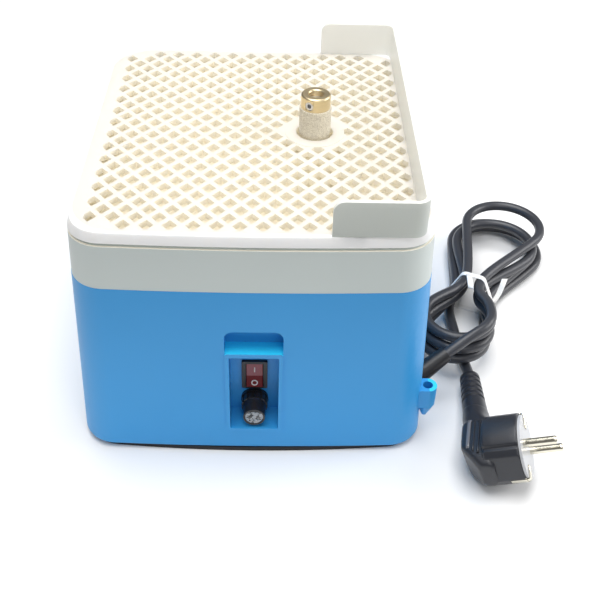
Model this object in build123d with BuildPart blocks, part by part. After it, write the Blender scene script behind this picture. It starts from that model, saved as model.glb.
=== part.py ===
from build123d import *

import math
import os

os.makedirs("parts", exist_ok=True)

# A bench glass grinder: a water tray with a diamond bit on a motor housing.
# Millimetres, +Z up, the user stands at -Y, the underside of the mat is Z = 0.

# Body
BASE_WIDTH = 207.0
BASE_DEPTH = 227.0
DRAFT = 2.0
SIDE_BOW = 2.7
CORNER = 20.0
WALL = 3.0
MAT_THICK = 3.0
MAT_INSET = 0.4
MAT_BOW = 6.0
PLATE_THICK = 3.0
HOUSING_TOP = 119.0
DECK_THICK = 3.0
TRAY_HEIGHT = 29.0
TRAY_FLOOR = 3.0
TRAY_LIP_HEIGHT = 2.2
TRAY_LIP_INSET = 1.6
GRID_HEIGHT = 6.0
GRID_THICK = 3.5
FIT = 0.3

# Grid lattice
PITCH_X = 12.0
PITCH_Y = 14.0
RIB = 3.0
GRID_MARGIN_X = 11.627
GRID_MARGIN_Y = 6.427

# Spindle and bit
SPINDLE_X = 34.5
SPINDLE_Y = -1.3
SHAFT_DIA = 8.0
SHAFT_BOTTOM = 12.0
SHAFT_STAND = 22.0
SHAFT_FLAT = 1.0
SHAFT_CHAMFER = 0.6
BIT_STAND = 25.3
BIT_HEAD_HEIGHT = 8.3
BIT_SUNK = 6.0
GRIT_SUNK = 5.0
BIT_HEAD_DIA = 17.0
BIT_CHAMFER = 0.8
BIT_STEM_DIA = 15.0
GRIT_DIA = 18.6
SCREW_DOWN = 4.7
SCREW_DIA = 5.0
SCREW_ANGLE = 241.0
BIT_HOLE_DIA = 21.6
RING_DIA = 35.0
RING_PROUD = 0.5
RUNNING_GAP = 0.1

# Tray tower
TOWER_DIA = 30.0
TOWER_BORE = 14.0
TOWER_SUNK = 5.0
SEAL_HEIGHT = 4.0
SLINGER_DIA = 34.0
SLINGER_THICK = 2.0

# Splash guard
GUARD_HEIGHT = 21.0
GUARD_THICK = 2.4
GUARD_LENGTH = 49.0
GUARD_FROM_SIDE = 8.227
GUARD_FROM_FRONT = 2.227
GUARD_CORNER = 6.0
GUARD_TOP_ROUND = 6.0
TAB_LENGTH = 10.0
TAB_DEPTH = 5.0
TAB_THICK = 1.6

# Switch and fuse niche in the front wall
NICHE_X = 1.2
NICHE_WIDTH = 32.6
NICHE_TOP = 92.4
RECESS_DEPTH = 12.3
POCKET_DEPTH = 17.5
LEDGE_TOP = 77.3
LEDGE_THICK = 2.8
POCKET_WIDTH = 28.0
POCKET_BOTTOM = 20.0
FRAME_EDGE = 2.4
FRAME_PROUD = 0.9
SWITCH_Z = 48.2
SWITCH_WIDTH = 15.0
SWITCH_HEIGHT = 21.0
SWITCH_BODY_WIDTH = 13.0
SWITCH_BODY_HEIGHT = 19.2
SWITCH_BODY_DEPTH = 20.0
BEZEL_THICK = 2.0
BEZEL_ROUND = 1.0
ROCKER_WIDTH = 9.6
ROCKER_REACH = 8.9
ROCKER_PIVOT_DEPTH = 2.5
ROCKER_IN = 6.0
ROCKER_OUT = 12.0
FUSE_Z = 28.3
FUSE_FLANGE_DIA = 16.0
FUSE_BARREL_DIA = 12.0
FUSE_BARREL_LENGTH = 36.0
FUSE_CAP_DIA = 12.6
FUSE_CAP_LENGTH = 14.2
FUSE_GRIP_DIA = 15.4
FUSE_GRIP_LENGTH = 5.0
FUSE_DIA = 6.3
FUSE_LENGTH = 30.0

# Accessory lug on the right wall
LUG_FROM_SIDE = 0.5
LUG_FROM_FRONT = 19.5
LUG_TOP = 38.0
LUG_DIA = 11.0
LUG_BORE = 6.0
LUG_BORE_DEPTH = 18.0
LUG_HEIGHT = 14.0
LUG_FOOT = 10.0
LUG_FOOT_DIA = 3.0
LUG_ROOT = 6.0

# Motor
MOTOR_DIA = 78.0
MOTOR_WALL = 2.0
MOTOR_BOTTOM = 30.0
BELL_THICK = 10.0
BEARING_DIA = 22.0
BEARING_HEIGHT = 7.0
STATOR_HEIGHT = 36.0
STATOR_SLOTS = 12
ROTOR_DIA = 42.0
AIR_GAP = 0.5
FAN_DIA = 60.0
FAN_BOTTOM = 13.0
FAN_HEIGHT = 9.0
FAN_BLADES = 8
FAN_BLADE_THICK = 1.6
FAN_HUB_WALL = 4.0

# Mains lead
CORD_DIA = 7.0
CORD_LIFT = 1.1
LAYER = 8.0
LAYERS = 4
LOWER_LOBE = (134.5, -13.0)
UPPER_LOBE = (174.5, 78.0)
LOWER_RADIUS = 24.5
UPPER_RADIUS = 33.0
WAIST_SHARE = 0.34
WAIST_HALF = 12.0
SPIRAL_STEP = 1.2
TIE_WIDTH = 4.0
TIE_THICK = 0.9
GLAND_Y = -67.0
GLAND_Z = 22.0
GLAND_DIA = 17.0
BOOT_LENGTH = 20.0
BOOT_ROOT_DIA = 13.0
BOOT_END_DIA = 10.0
BOOT_LAP = 2.0
GLAND_STAND = 4.2
GLAND_FLANGE = 3.0
GLAND_COLLAR = 12.0

# Mains plug
PLUG_FACE = (156.3, -132.4, 26.9)
PLUG_TURN = -11.7
PLUG_TILT = 22.9
PLUG_DIA = 39.6
PLUG_LENGTH = 20.5
PLUG_BACK = 34.0
PLUG_FACE_DIA = 37.0
PLUG_FACE_THICK = 1.5
PIN_DIA = 4.8
PIN_LENGTH = 19.0
PIN_SPACING = 19.0
PIN_ROLL = 60.0
PIN_ROUND = 1.5
NECK_END = (138.4, -58.0, 8.4)
NECK_BACK = 29.0
NECK_REACH = 25.0
NECK_END_DIA = 12.6
NECK_ROOT_DIA = 16.0
NECK_RIBS = 5
NECK_RIB_DEPTH = 1.1

# Levels and places that follow from the sizes above
TRAY_TOP = HOUSING_TOP + TRAY_HEIGHT
GRID_TOP = TRAY_TOP + GRID_HEIGHT
SHAFT_TOP = GRID_TOP + SHAFT_STAND
BIT_TOP = GRID_TOP + BIT_STAND
BIT_SHOULDER = BIT_TOP - BIT_HEAD_HEIGHT
BIT_BOTTOM = GRID_TOP - BIT_SUNK
GRIT_BOTTOM = GRID_TOP - GRIT_SUNK
SCREW_Z = BIT_TOP - SCREW_DOWN
TOWER_TOP = TRAY_TOP - TOWER_SUNK
RECESS_BACK = BASE_DEPTH / 2 - RECESS_DEPTH
POCKET_BACK = BASE_DEPTH / 2 - POCKET_DEPTH
FUSE_BARREL_BACK = POCKET_BACK - FUSE_BARREL_LENGTH
LUG_X = BASE_WIDTH / 2 + LUG_FROM_SIDE
LUG_Y = LUG_FROM_FRONT - BASE_DEPTH / 2
HOUSING_BOTTOM = MAT_THICK
PLATE_TOP = MAT_THICK + PLATE_THICK
DECK_UNDER = HOUSING_TOP - DECK_THICK
TRAY_FLOOR_TOP = HOUSING_TOP + TRAY_FLOOR
GRID_UNDER = GRID_TOP - GRID_THICK
MOTOR_TOP = DECK_UNDER
BELL_UNDER = MOTOR_TOP - BELL_THICK
STATOR_MIDDLE = (MOTOR_BOTTOM + BELL_UNDER) / 2
SPINDLE = (SPINDLE_X, SPINDLE_Y)
SHAFT_CORE = Axis((SPINDLE_X, SPINDLE_Y, 0), (0, 0, 1))


def lean(z):
    """How far the drafted walls have come in at height z."""
    return (z - HOUSING_BOTTOM) * math.tan(math.radians(DRAFT))


def half_x(z):
    return BASE_WIDTH / 2 - lean(z)


def half_y(z):
    return BASE_DEPTH / 2 - lean(z)


# Limits of the pits and places of the guard, from the plan at the grid's top
PIT_LIMIT_X = half_x(GRID_TOP) - GRID_MARGIN_X
PIT_LIMIT_Y = half_y(GRID_TOP) - GRID_MARGIN_Y
COLUMNS = 2 * int(PIT_LIMIT_X / PITCH_X) + 1
ROWS = 2 * int(PIT_LIMIT_Y / PITCH_Y)
GUARD_RIGHT = half_x(GRID_TOP) - GUARD_FROM_SIDE
GUARD_LEFT = GUARD_RIGHT - GUARD_LENGTH
GUARD_HALF_Y = half_y(GRID_TOP) - GUARD_FROM_FRONT


def plan(z, inset=0.0, bow=SIDE_BOW):
    """Plan of the body at height z, with bowed sides and round corners, drawn in by inset."""
    reach_x = half_x(z) - inset
    reach_y = half_y(z) - inset
    x = reach_x - bow
    y = reach_y - bow
    with BuildSketch(Plane.XY.offset(z)) as outline:
        with BuildLine():
            ThreePointArc((-x, -y), (0, -reach_y), (x, -y))
            ThreePointArc((x, -y), (reach_x, 0), (x, y))
            ThreePointArc((x, y), (0, reach_y), (-x, y))
            ThreePointArc((-x, y), (-reach_x, 0), (-x, -y))
        make_face()
        fillet(outline.vertices(), CORNER - inset)
    return outline.sketch


def drafted(*levels):
    """Plans for a ruled loft, from pairs of height and inset."""
    return [plan(z, inset) for z, inset in levels]


def front(y):
    """Upright plane facing the user, at the distance y in front of the middle."""
    return Plane.XZ.offset(y)


# Base mat: one sheet of black rubber under the whole machine, glued to the base plate.
with BuildPart() as base_mat:
    extrude(plan(0.0, MAT_INSET, MAT_BOW), MAT_THICK)
base_mat.part.label = "base_mat"
export_step(base_mat.part, "parts/base_mat.step")

# Base plate: painted sheet steel that closes the housing, with slots for the fan's air.
PILLAR_FROM_WALL = 25.5
PILLAR_X = BASE_WIDTH / 2 - PILLAR_FROM_WALL
PILLAR_Y = BASE_DEPTH / 2 - PILLAR_FROM_WALL
PILLAR_DIA = 11.0
BASE_SCREW_DIA = 4.0
BASE_SCREW_HEAD = 7.6
BASE_SCREW_LENGTH = 16.0
VENT_LENGTH = 44.0
VENT_WIDTH = 4.0
VENT_COUNT = 5
VENT_PITCH = 10.0
with BuildPart() as base_plate:
    loft(drafted((MAT_THICK, WALL + FIT), (PLATE_TOP, WALL + FIT)), ruled=True)
    with Locations((0, 0, MAT_THICK)):
        with GridLocations(2 * PILLAR_X, 2 * PILLAR_Y, 2, 2):
            Cone(
                BASE_SCREW_HEAD / 2 + RUNNING_GAP,
                BASE_SCREW_DIA / 2 + RUNNING_GAP,
                PLATE_THICK,
                align=(Align.CENTER, Align.CENTER, Align.MIN),
                mode=Mode.SUBTRACT,
            )
    with BuildSketch(Plane.XY.offset(MAT_THICK)):
        with Locations(SPINDLE):
            with GridLocations(1, VENT_PITCH, 1, VENT_COUNT):
                SlotOverall(VENT_LENGTH, VENT_WIDTH)
    extrude(amount=PLATE_THICK, mode=Mode.SUBTRACT)
base_plate.part.label = "base_plate"
export_step(base_plate.part, "parts/base_plate.step")

# Base screws: countersunk, from below into the housing's four pillars.
screw_spots = [(x, y) for x in (-PILLAR_X, PILLAR_X) for y in (-PILLAR_Y, PILLAR_Y)]
for number, (x, y) in enumerate(screw_spots, 1):
    with BuildPart() as base_screw:
        with BuildSketch(Plane.XZ) as half:
            with BuildLine():
                Polyline(
                    (0, 0),
                    (BASE_SCREW_HEAD / 2, 0),
                    (BASE_SCREW_DIA / 2, PLATE_THICK),
                    (BASE_SCREW_DIA / 2, BASE_SCREW_LENGTH),
                    (0, BASE_SCREW_LENGTH),
                    close=True,
                )
            make_face()
        revolve(axis=Axis.Z)
    placed = base_screw.part.moved(Location((x, y, MAT_THICK)))
    placed.label = f"base_screw_{number}"
    export_step(placed, f"parts/base_screw_{number}.step")

# Housing: blue moulded shell with a deck on top, four screw pillars inside,
# a niche for the switch and the fuse in front and a lug on the right wall.
NICHE_WALL = 2.6
NICHE_CUT = 30.0
RECESS_ROUND = 5.0
POCKET_ROUND = 1.0
FRAME_ROUND = 1.5
BOTTOM_ROUND = 2.2
MOTOR_HOLE_DIA = 32.0
GASKET_OUT = 52.0
GASKET_IN = 44.0
GASKET_THICK = 1.5
MOTOR_SCREW_CIRCLE = 62.0
MOTOR_SCREW_DIA = 4.0
MOTOR_SCREW_HEAD = 7.6
MOTOR_SCREW_LENGTH = 11.0
MOTOR_SCREW_CONE = 2.4
block_half = NICHE_WIDTH / 2 + NICHE_WALL
niche_blocks = [
    (POCKET_BACK, POCKET_BOTTOM - FRAME_EDGE - NICHE_WALL, LEDGE_TOP),
    (RECESS_BACK, LEDGE_TOP, NICHE_TOP + NICHE_WALL),
]
with BuildPart() as cavity:
    loft(drafted((HOUSING_BOTTOM, WALL), (DECK_UNDER, WALL)), ruled=True)
    for back, low, high in niche_blocks:
        with Locations((NICHE_X, -back + NICHE_WALL, low)):
            Box(
                2 * block_half,
                NICHE_CUT,
                high - low,
                align=(Align.CENTER, Align.MAX, Align.MIN),
                mode=Mode.SUBTRACT,
            )
    with Locations((0, 0, PLATE_TOP)):
        with GridLocations(2 * PILLAR_X, 2 * PILLAR_Y, 2, 2):
            Cylinder(
                PILLAR_DIA / 2,
                DECK_UNDER,
                align=(Align.CENTER, Align.CENTER, Align.MIN),
                mode=Mode.SUBTRACT,
            )

with BuildPart() as frame_rim:
    loft(drafted((HOUSING_BOTTOM, -FRAME_PROUD), (HOUSING_TOP, -FRAME_PROUD)), ruled=True)
    with BuildSketch(front(RECESS_BACK)):
        with Locations((NICHE_X, (LEDGE_TOP + POCKET_BOTTOM - FRAME_EDGE) / 2)):
            RectangleRounded(
                POCKET_WIDTH + 2 * FRAME_EDGE,
                LEDGE_TOP - POCKET_BOTTOM + FRAME_EDGE,
                FRAME_ROUND,
            )
    extrude(amount=NICHE_CUT, mode=Mode.INTERSECT)

with BuildPart() as housing:
    loft(
        drafted(
            (HOUSING_BOTTOM, BOTTOM_ROUND),
            (HOUSING_BOTTOM + 0.3 * BOTTOM_ROUND, 0.3 * BOTTOM_ROUND),
            (HOUSING_BOTTOM + BOTTOM_ROUND, 0),
            (HOUSING_TOP, 0),
        ),
        ruled=True,
    )
    add(cavity.part, mode=Mode.SUBTRACT)
    add(frame_rim.part)
    # Lug for an accessory rod, a boss with a blind bore that fades into the wall
    with Locations((LUG_X, LUG_Y, LUG_TOP)):
        Cylinder(LUG_DIA / 2, LUG_HEIGHT, align=(Align.CENTER, Align.CENTER, Align.MAX))
    with Locations((LUG_X, LUG_Y, LUG_TOP - LUG_HEIGHT)):
        Cone(
            LUG_FOOT_DIA / 2,
            LUG_DIA / 2,
            LUG_FOOT,
            align=(Align.CENTER, Align.CENTER, Align.MAX),
        )
    with Locations((LUG_X, LUG_Y, LUG_TOP)):
        Box(LUG_ROOT, LUG_DIA, LUG_HEIGHT, align=(Align.MAX, Align.CENTER, Align.MAX))
        Cylinder(
            LUG_BORE / 2,
            LUG_BORE_DEPTH,
            align=(Align.CENTER, Align.CENTER, Align.MAX),
            mode=Mode.SUBTRACT,
        )
    # Open recess over the ledge, then the pocket of the switch and the fuse
    with BuildSketch(front(RECESS_BACK)) as recess:
        with Locations((NICHE_X, (LEDGE_TOP + NICHE_TOP) / 2)):
            Rectangle(NICHE_WIDTH, NICHE_TOP - LEDGE_TOP)
        fillet(recess.vertices().group_by(Axis.Y)[-1], RECESS_ROUND)
    extrude(amount=NICHE_CUT, mode=Mode.SUBTRACT)
    pocket_top = LEDGE_TOP - LEDGE_THICK
    with BuildSketch(front(POCKET_BACK)):
        with Locations((NICHE_X, (pocket_top + POCKET_BOTTOM) / 2)):
            RectangleRounded(POCKET_WIDTH, pocket_top - POCKET_BOTTOM, POCKET_ROUND)
    extrude(amount=NICHE_CUT, mode=Mode.SUBTRACT)
    with BuildSketch(front(POCKET_BACK)):
        with Locations((NICHE_X, SWITCH_Z)):
            Rectangle(SWITCH_BODY_WIDTH + FIT, SWITCH_BODY_HEIGHT + FIT)
        with Locations((NICHE_X, FUSE_Z)):
            Circle(FUSE_BARREL_DIA / 2 + FIT / 2)
    extrude(amount=-NICHE_CUT, mode=Mode.SUBTRACT)
    # Deck: motor hole, gasket groove and four countersunk screw holes
    with BuildSketch(Plane.XY.offset(HOUSING_TOP)):
        with Locations(SPINDLE):
            Circle(MOTOR_HOLE_DIA / 2)
            with PolarLocations(MOTOR_SCREW_CIRCLE / 2, 4, 45):
                Circle(MOTOR_SCREW_DIA / 2 + RUNNING_GAP)
    extrude(amount=-DECK_THICK, mode=Mode.SUBTRACT)
    with BuildSketch(Plane.XY.offset(HOUSING_TOP)):
        with Locations(SPINDLE):
            Circle(GASKET_OUT / 2 + RUNNING_GAP)
            Circle(GASKET_IN / 2 - RUNNING_GAP, mode=Mode.SUBTRACT)
    extrude(amount=-GASKET_THICK, mode=Mode.SUBTRACT)
    with Locations((SPINDLE_X, SPINDLE_Y, HOUSING_TOP)):
        with PolarLocations(MOTOR_SCREW_CIRCLE / 2, 4, 45):
            Cone(
                MOTOR_SCREW_DIA / 2 + RUNNING_GAP,
                MOTOR_SCREW_HEAD / 2 + RUNNING_GAP,
                MOTOR_SCREW_CONE,
                align=(Align.CENTER, Align.CENTER, Align.MAX),
                mode=Mode.SUBTRACT,
            )
    # Pilot holes in the pillars and the hole for the lead's gland
    with Locations((0, 0, PLATE_TOP)):
        with GridLocations(2 * PILLAR_X, 2 * PILLAR_Y, 2, 2):
            Cylinder(
                BASE_SCREW_DIA / 2 + RUNNING_GAP,
                BASE_SCREW_LENGTH,
                align=(Align.CENTER, Align.CENTER, Align.MIN),
                mode=Mode.SUBTRACT,
            )
    with Locations(Location((half_x(GLAND_Z), GLAND_Y, GLAND_Z), (0, 90, 0))):
        Cylinder(
            BOOT_ROOT_DIA / 2 + RUNNING_GAP,
            2 * GLAND_COLLAR,
            mode=Mode.SUBTRACT,
        )
housing.part.label = "housing"
export_step(housing.part, "parts/housing.step")

# Tray: white water reservoir that sits on the deck, with a tower round the shaft. Its wall
# ends in a thin lip that carries the grid and leaves a shadow line under the grid's rim.
TRAY_STEP = 0.2
lip_bottom = TRAY_TOP - TRAY_LIP_HEIGHT
with BuildPart() as tray:
    loft(drafted((HOUSING_TOP, TRAY_STEP), (lip_bottom, TRAY_STEP)), ruled=True)
    loft(drafted((lip_bottom, TRAY_LIP_INSET), (TRAY_TOP, TRAY_LIP_INSET)), ruled=True)
    loft(
        drafted((TRAY_FLOOR_TOP, WALL), (TRAY_TOP, WALL)), ruled=True, mode=Mode.SUBTRACT
    )
    with Locations((SPINDLE_X, SPINDLE_Y, HOUSING_TOP)):
        Cylinder(
            TOWER_DIA / 2,
            TOWER_TOP - HOUSING_TOP,
            align=(Align.CENTER, Align.CENTER, Align.MIN),
        )
        Cylinder(
            TOWER_BORE / 2,
            TOWER_TOP - HOUSING_TOP,
            align=(Align.CENTER, Align.CENTER, Align.MIN),
            mode=Mode.SUBTRACT,
        )
tray.part.label = "tray"
export_step(tray.part, "parts/tray.step")

# Tray gasket: flat rubber ring in the deck's groove, under the tray.
with BuildPart() as tray_gasket:
    with BuildSketch(Plane.XY.offset(HOUSING_TOP)):
        with Locations(SPINDLE):
            Circle(GASKET_OUT / 2)
            Circle(GASKET_IN / 2, mode=Mode.SUBTRACT)
    extrude(amount=-GASKET_THICK)
tray_gasket.part.label = "tray_gasket"
export_step(tray_gasket.part, "parts/tray_gasket.step")

# Shaft seal: rubber ring in the tower's mouth.
with BuildPart() as shaft_seal:
    with BuildSketch(Plane.XY.offset(TOWER_TOP - SEAL_HEIGHT)):
        with Locations(SPINDLE):
            Circle(TOWER_BORE / 2)
            Circle(SHAFT_DIA / 2 + RUNNING_GAP, mode=Mode.SUBTRACT)
    extrude(amount=SEAL_HEIGHT)
shaft_seal.part.label = "shaft_seal"
export_step(shaft_seal.part, "parts/shaft_seal.step")

# Grid: white work surface, a diamond lattice in a rim that hooks into the tray,
# with a smooth ring round the bit and slots for the splash guard's tabs.
SKIRT_DEPTH = 4.5
SKIRT_THICK = 2.0
RIM_FOOT = 0.1
RIM_LEAN = 1.1
RIM_ROUND = 1.4
PANEL_LAP = 1.6
CORNER_FREE_X = 11.6
CORNER_FREE_Y = 6.8
rim_inset = RIM_FOOT + RIM_LEAN
skirt_inset = WALL + FIT
whole = PITCH_X / 2 * PITCH_Y / 2 / math.hypot(PITCH_X / 2, PITCH_Y / 2)
pit_share = 1 - RIB / (2 * whole)
pit_x = pit_share * PITCH_X / 2
pit_y = pit_share * PITCH_Y / 2
pit_spots = [
    *GridLocations(PITCH_X, PITCH_Y, COLUMNS, ROWS),
    *GridLocations(PITCH_X, PITCH_Y, COLUMNS - 1, ROWS + 1),
]
TAB_FROM_END = 12.0
tab_x = GUARD_LEFT + TAB_FROM_END
tab_y = GUARD_HALF_Y - GUARD_THICK + TAB_THICK / 2
guard_y = GUARD_HALF_Y - GUARD_THICK / 2
guard_x = GUARD_RIGHT - GUARD_THICK / 2
tabs_across = [(tab_x, -tab_y), (tab_x, tab_y)]
tabs_along = [(guard_x, -PITCH_Y * 4), (guard_x, PITCH_Y * 4)]


def pit_corners(x, y):
    """Corners of the diamond at x, y, its tips cut off where they pass the lattice's limits."""
    corners = []
    for ahead_x, ahead_y in ((1, 0), (0, 1), (-1, 0), (0, -1)):
        reach, wide, limit = (
            (pit_x, pit_y, PIT_LIMIT_X) if ahead_x else (pit_y, pit_x, PIT_LIMIT_Y)
        )
        over = max(0.0, ahead_x * x + ahead_y * y + reach - limit)
        tip_x = x + ahead_x * (reach - over)
        tip_y = y + ahead_y * (reach - over)
        spread = wide * over / reach
        if over > 0:
            corners.append((tip_x + ahead_y * spread, tip_y - ahead_x * spread))
        corners.append((tip_x - ahead_y * spread, tip_y + ahead_x * spread))
    return corners


# Pits in the lattice: whole ones, then those that the smooth ring cuts into
pit_wires = []
ring_pits = []
for spot in pit_spots:
    x = spot.position.X
    y = spot.position.Y
    if abs(x) > PIT_LIMIT_X - CORNER_FREE_X and abs(y) > PIT_LIMIT_Y - CORNER_FREE_Y:
        continue
    distances = [math.dist(corner, SPINDLE) for corner in pit_corners(x, y)]
    if min(distances) > RING_DIA / 2:
        raised = [(*corner, GRID_TOP) for corner in pit_corners(x, y)]
        pit_wires.append(Wire.make_polygon(raised, close=True))
    elif math.dist((x, y), SPINDLE) > RING_DIA / 2 + RIB / 2:
        ring_pits.append(pit_corners(x, y))
with BuildSketch(Plane.XY.offset(GRID_TOP)) as holes:
    for corners in ring_pits:
        Polygon(*corners, align=None)
    with Locations(SPINDLE):
        Circle(RING_DIA / 2, mode=Mode.SUBTRACT)
        Circle(BIT_HOLE_DIA / 2)
    with Locations(*tabs_along):
        Rectangle(TAB_THICK + 2 * FIT, TAB_LENGTH + 2 * FIT)
pit_wires += [face.outer_wire() for face in holes.sketch.faces()]
panel = plan(GRID_TOP, rim_inset + RIM_ROUND + PANEL_LAP)
lattice = Face(panel.face().outer_wire(), pit_wires)
with BuildPart() as grid:
    loft(
        drafted(
            (TRAY_TOP, RIM_FOOT),
            (GRID_TOP - RIM_ROUND, rim_inset),
            (GRID_TOP - 0.3 * RIM_ROUND, rim_inset + 0.3 * RIM_ROUND),
            (GRID_TOP, rim_inset + RIM_ROUND),
        ),
        ruled=True,
    )
    loft(
        drafted((TRAY_TOP - SKIRT_DEPTH, skirt_inset), (TRAY_TOP, skirt_inset)), ruled=True
    )
    loft(
        drafted(
            (TRAY_TOP - SKIRT_DEPTH, skirt_inset + SKIRT_THICK),
            (GRID_UNDER, skirt_inset + SKIRT_THICK),
        ),
        ruled=True,
        mode=Mode.SUBTRACT,
    )
    extrude(panel, -GRID_THICK, mode=Mode.SUBTRACT)
    with BuildSketch(Plane.XY.offset(GRID_TOP)):
        with Locations(*tabs_across):
            Rectangle(TAB_LENGTH + 2 * FIT, TAB_THICK + 2 * FIT)
    extrude(amount=-TAB_DEPTH - FIT, mode=Mode.SUBTRACT)
    extrude(lattice, GRID_THICK, dir=(0, 0, -1))
    with BuildSketch(Plane.XY.offset(GRID_TOP)):
        with Locations(SPINDLE):
            Circle(RING_DIA / 2)
            Circle(BIT_HOLE_DIA / 2, mode=Mode.SUBTRACT)
    extrude(amount=RING_PROUD)
grid.part.label = "grid"
export_step(grid.part, "parts/grid.step")

# Splash guard: one white wall round the right of the grid, held by tabs in its slots.
with BuildPart() as splash_guard:
    with BuildSketch(Plane.XY.offset(GRID_TOP)):
        with BuildLine():
            FilletPolyline(
                (GUARD_LEFT, -guard_y),
                (guard_x, -guard_y),
                (guard_x, guard_y),
                (GUARD_LEFT, guard_y),
                radius=GUARD_CORNER,
            )
        trace(line_width=GUARD_THICK)
    extrude(amount=GUARD_HEIGHT)
    ends = splash_guard.edges().filter_by(Axis.Y).group_by(Axis.X)[0]
    fillet(ends.group_by(Axis.Z)[-1], GUARD_TOP_ROUND)
    with BuildSketch(Plane.XY.offset(GRID_TOP)):
        with Locations(*tabs_across):
            Rectangle(TAB_LENGTH, TAB_THICK)
        with Locations(*tabs_along):
            Rectangle(TAB_THICK, TAB_LENGTH)
    extrude(amount=-TAB_DEPTH)
splash_guard.part.label = "splash_guard"
export_step(splash_guard.part, "parts/splash_guard.step")

# Motor can: drawn steel tube that hangs from the upper bell.
with BuildPart() as motor_can:
    with BuildSketch(Plane.XY.offset(MOTOR_BOTTOM)):
        with Locations(SPINDLE):
            Circle(MOTOR_DIA / 2)
            Circle(MOTOR_DIA / 2 - MOTOR_WALL, mode=Mode.SUBTRACT)
    extrude(amount=BELL_UNDER - MOTOR_BOTTOM)
motor_can.part.label = "motor_can"
export_step(motor_can.part, "parts/motor_can.step")

# Motor bells: die-cast ends of the motor, each with a bearing pocket facing inward.
BELL_BORE = 12.0
BELL_SPIGOT = 3.0
BOSS_DIA = 30.0
with BuildPart() as bell_upper:
    with BuildSketch(Plane.XY.offset(BELL_UNDER)):
        with Locations(SPINDLE):
            Circle(MOTOR_DIA / 2)
    extrude(amount=BELL_THICK)
    with BuildSketch(Plane.XY.offset(MOTOR_TOP)):
        with Locations(SPINDLE):
            Circle(BOSS_DIA / 2)
    extrude(amount=DECK_THICK)
    with BuildSketch(Plane.XY.offset(BELL_UNDER)):
        with Locations(SPINDLE):
            Circle(BELL_BORE / 2)
    extrude(amount=BELL_THICK + DECK_THICK, mode=Mode.SUBTRACT)
    with BuildSketch(Plane.XY.offset(BELL_UNDER)):
        with Locations(SPINDLE):
            Circle(BEARING_DIA / 2)
    extrude(amount=BEARING_HEIGHT, mode=Mode.SUBTRACT)
    with BuildSketch(Plane.XY.offset(MOTOR_TOP)):
        with Locations(SPINDLE):
            with PolarLocations(MOTOR_SCREW_CIRCLE / 2, 4, 45):
                Circle(MOTOR_SCREW_DIA / 2 + RUNNING_GAP)
    extrude(amount=-BELL_THICK, mode=Mode.SUBTRACT)
bell_upper.part.label = "motor_bell_upper"
export_step(bell_upper.part, "parts/motor_bell_upper.step")

with BuildPart() as bell_lower:
    with BuildSketch(Plane.XY.offset(MOTOR_BOTTOM)):
        with Locations(SPINDLE):
            Circle(MOTOR_DIA / 2)
    extrude(amount=-BELL_SPIGOT)
    with BuildSketch(Plane.XY.offset(MOTOR_BOTTOM - BELL_SPIGOT)):
        with Locations(SPINDLE):
            Circle(BOSS_DIA / 2)
    extrude(amount=BELL_SPIGOT + BEARING_HEIGHT)
    with BuildSketch(Plane.XY.offset(MOTOR_BOTTOM)):
        with Locations(SPINDLE):
            Circle(BEARING_DIA / 2)
    extrude(amount=BEARING_HEIGHT, mode=Mode.SUBTRACT)
    with BuildSketch(Plane.XY.offset(MOTOR_BOTTOM)):
        with Locations(SPINDLE):
            Circle(BELL_BORE / 2)
    extrude(amount=-BELL_SPIGOT, mode=Mode.SUBTRACT)
bell_lower.part.label = "motor_bell_lower"
export_step(bell_lower.part, "parts/motor_bell_lower.step")

# Motor screws: countersunk, from the deck down into the upper bell.
for number in range(4):
    turn = math.radians(45 + 90 * number)
    x = SPINDLE_X + MOTOR_SCREW_CIRCLE / 2 * math.cos(turn)
    y = SPINDLE_Y + MOTOR_SCREW_CIRCLE / 2 * math.sin(turn)
    with BuildPart() as motor_screw:
        with BuildSketch(Plane.XZ):
            with BuildLine():
                Polyline(
                    (0, 0),
                    (MOTOR_SCREW_HEAD / 2, 0),
                    (MOTOR_SCREW_DIA / 2, -MOTOR_SCREW_CONE),
                    (MOTOR_SCREW_DIA / 2, -MOTOR_SCREW_LENGTH),
                    (0, -MOTOR_SCREW_LENGTH),
                    close=True,
                )
            make_face()
        revolve(axis=Axis.Z)
    placed = motor_screw.part.moved(Location((x, y, HOUSING_TOP)))
    placed.label = f"motor_screw_{number + 1}"
    export_step(placed, f"parts/motor_screw_{number + 1}.step")

# Bearings: sealed ball bearings, one in each bell.
for name, bottom in (("bearing_upper", BELL_UNDER), ("bearing_lower", MOTOR_BOTTOM)):
    with BuildPart() as bearing:
        with BuildSketch(Plane.XY.offset(bottom)):
            with Locations(SPINDLE):
                Circle(BEARING_DIA / 2)
                Circle(SHAFT_DIA / 2, mode=Mode.SUBTRACT)
        extrude(amount=BEARING_HEIGHT)
    bearing.part.label = name
    export_step(bearing.part, f"parts/{name}.step")

# Stator: stacked steel ring with teeth, pressed into the can, and its copper end turns.
stator_out = MOTOR_DIA / 2 - MOTOR_WALL
stator_in = ROTOR_DIA / 2 + AIR_GAP
SLOT_WIDTH = 5.0
SLOT_DEPTH = 9.0
END_TURN = 10.0
END_TURN_INSET = 3.0
END_TURN_ROUND = 2.5
with BuildPart() as stator:
    with BuildSketch(Plane.XY.offset(STATOR_MIDDLE - STATOR_HEIGHT / 2)):
        with Locations(SPINDLE):
            Circle(stator_out)
            Circle(stator_in, mode=Mode.SUBTRACT)
            with PolarLocations(stator_in + SLOT_DEPTH / 2, STATOR_SLOTS):
                Rectangle(SLOT_DEPTH + 1, SLOT_WIDTH, mode=Mode.SUBTRACT)
    extrude(amount=STATOR_HEIGHT)
stator.part.label = "motor_stator"
export_step(stator.part, "parts/motor_stator.step")

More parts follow.
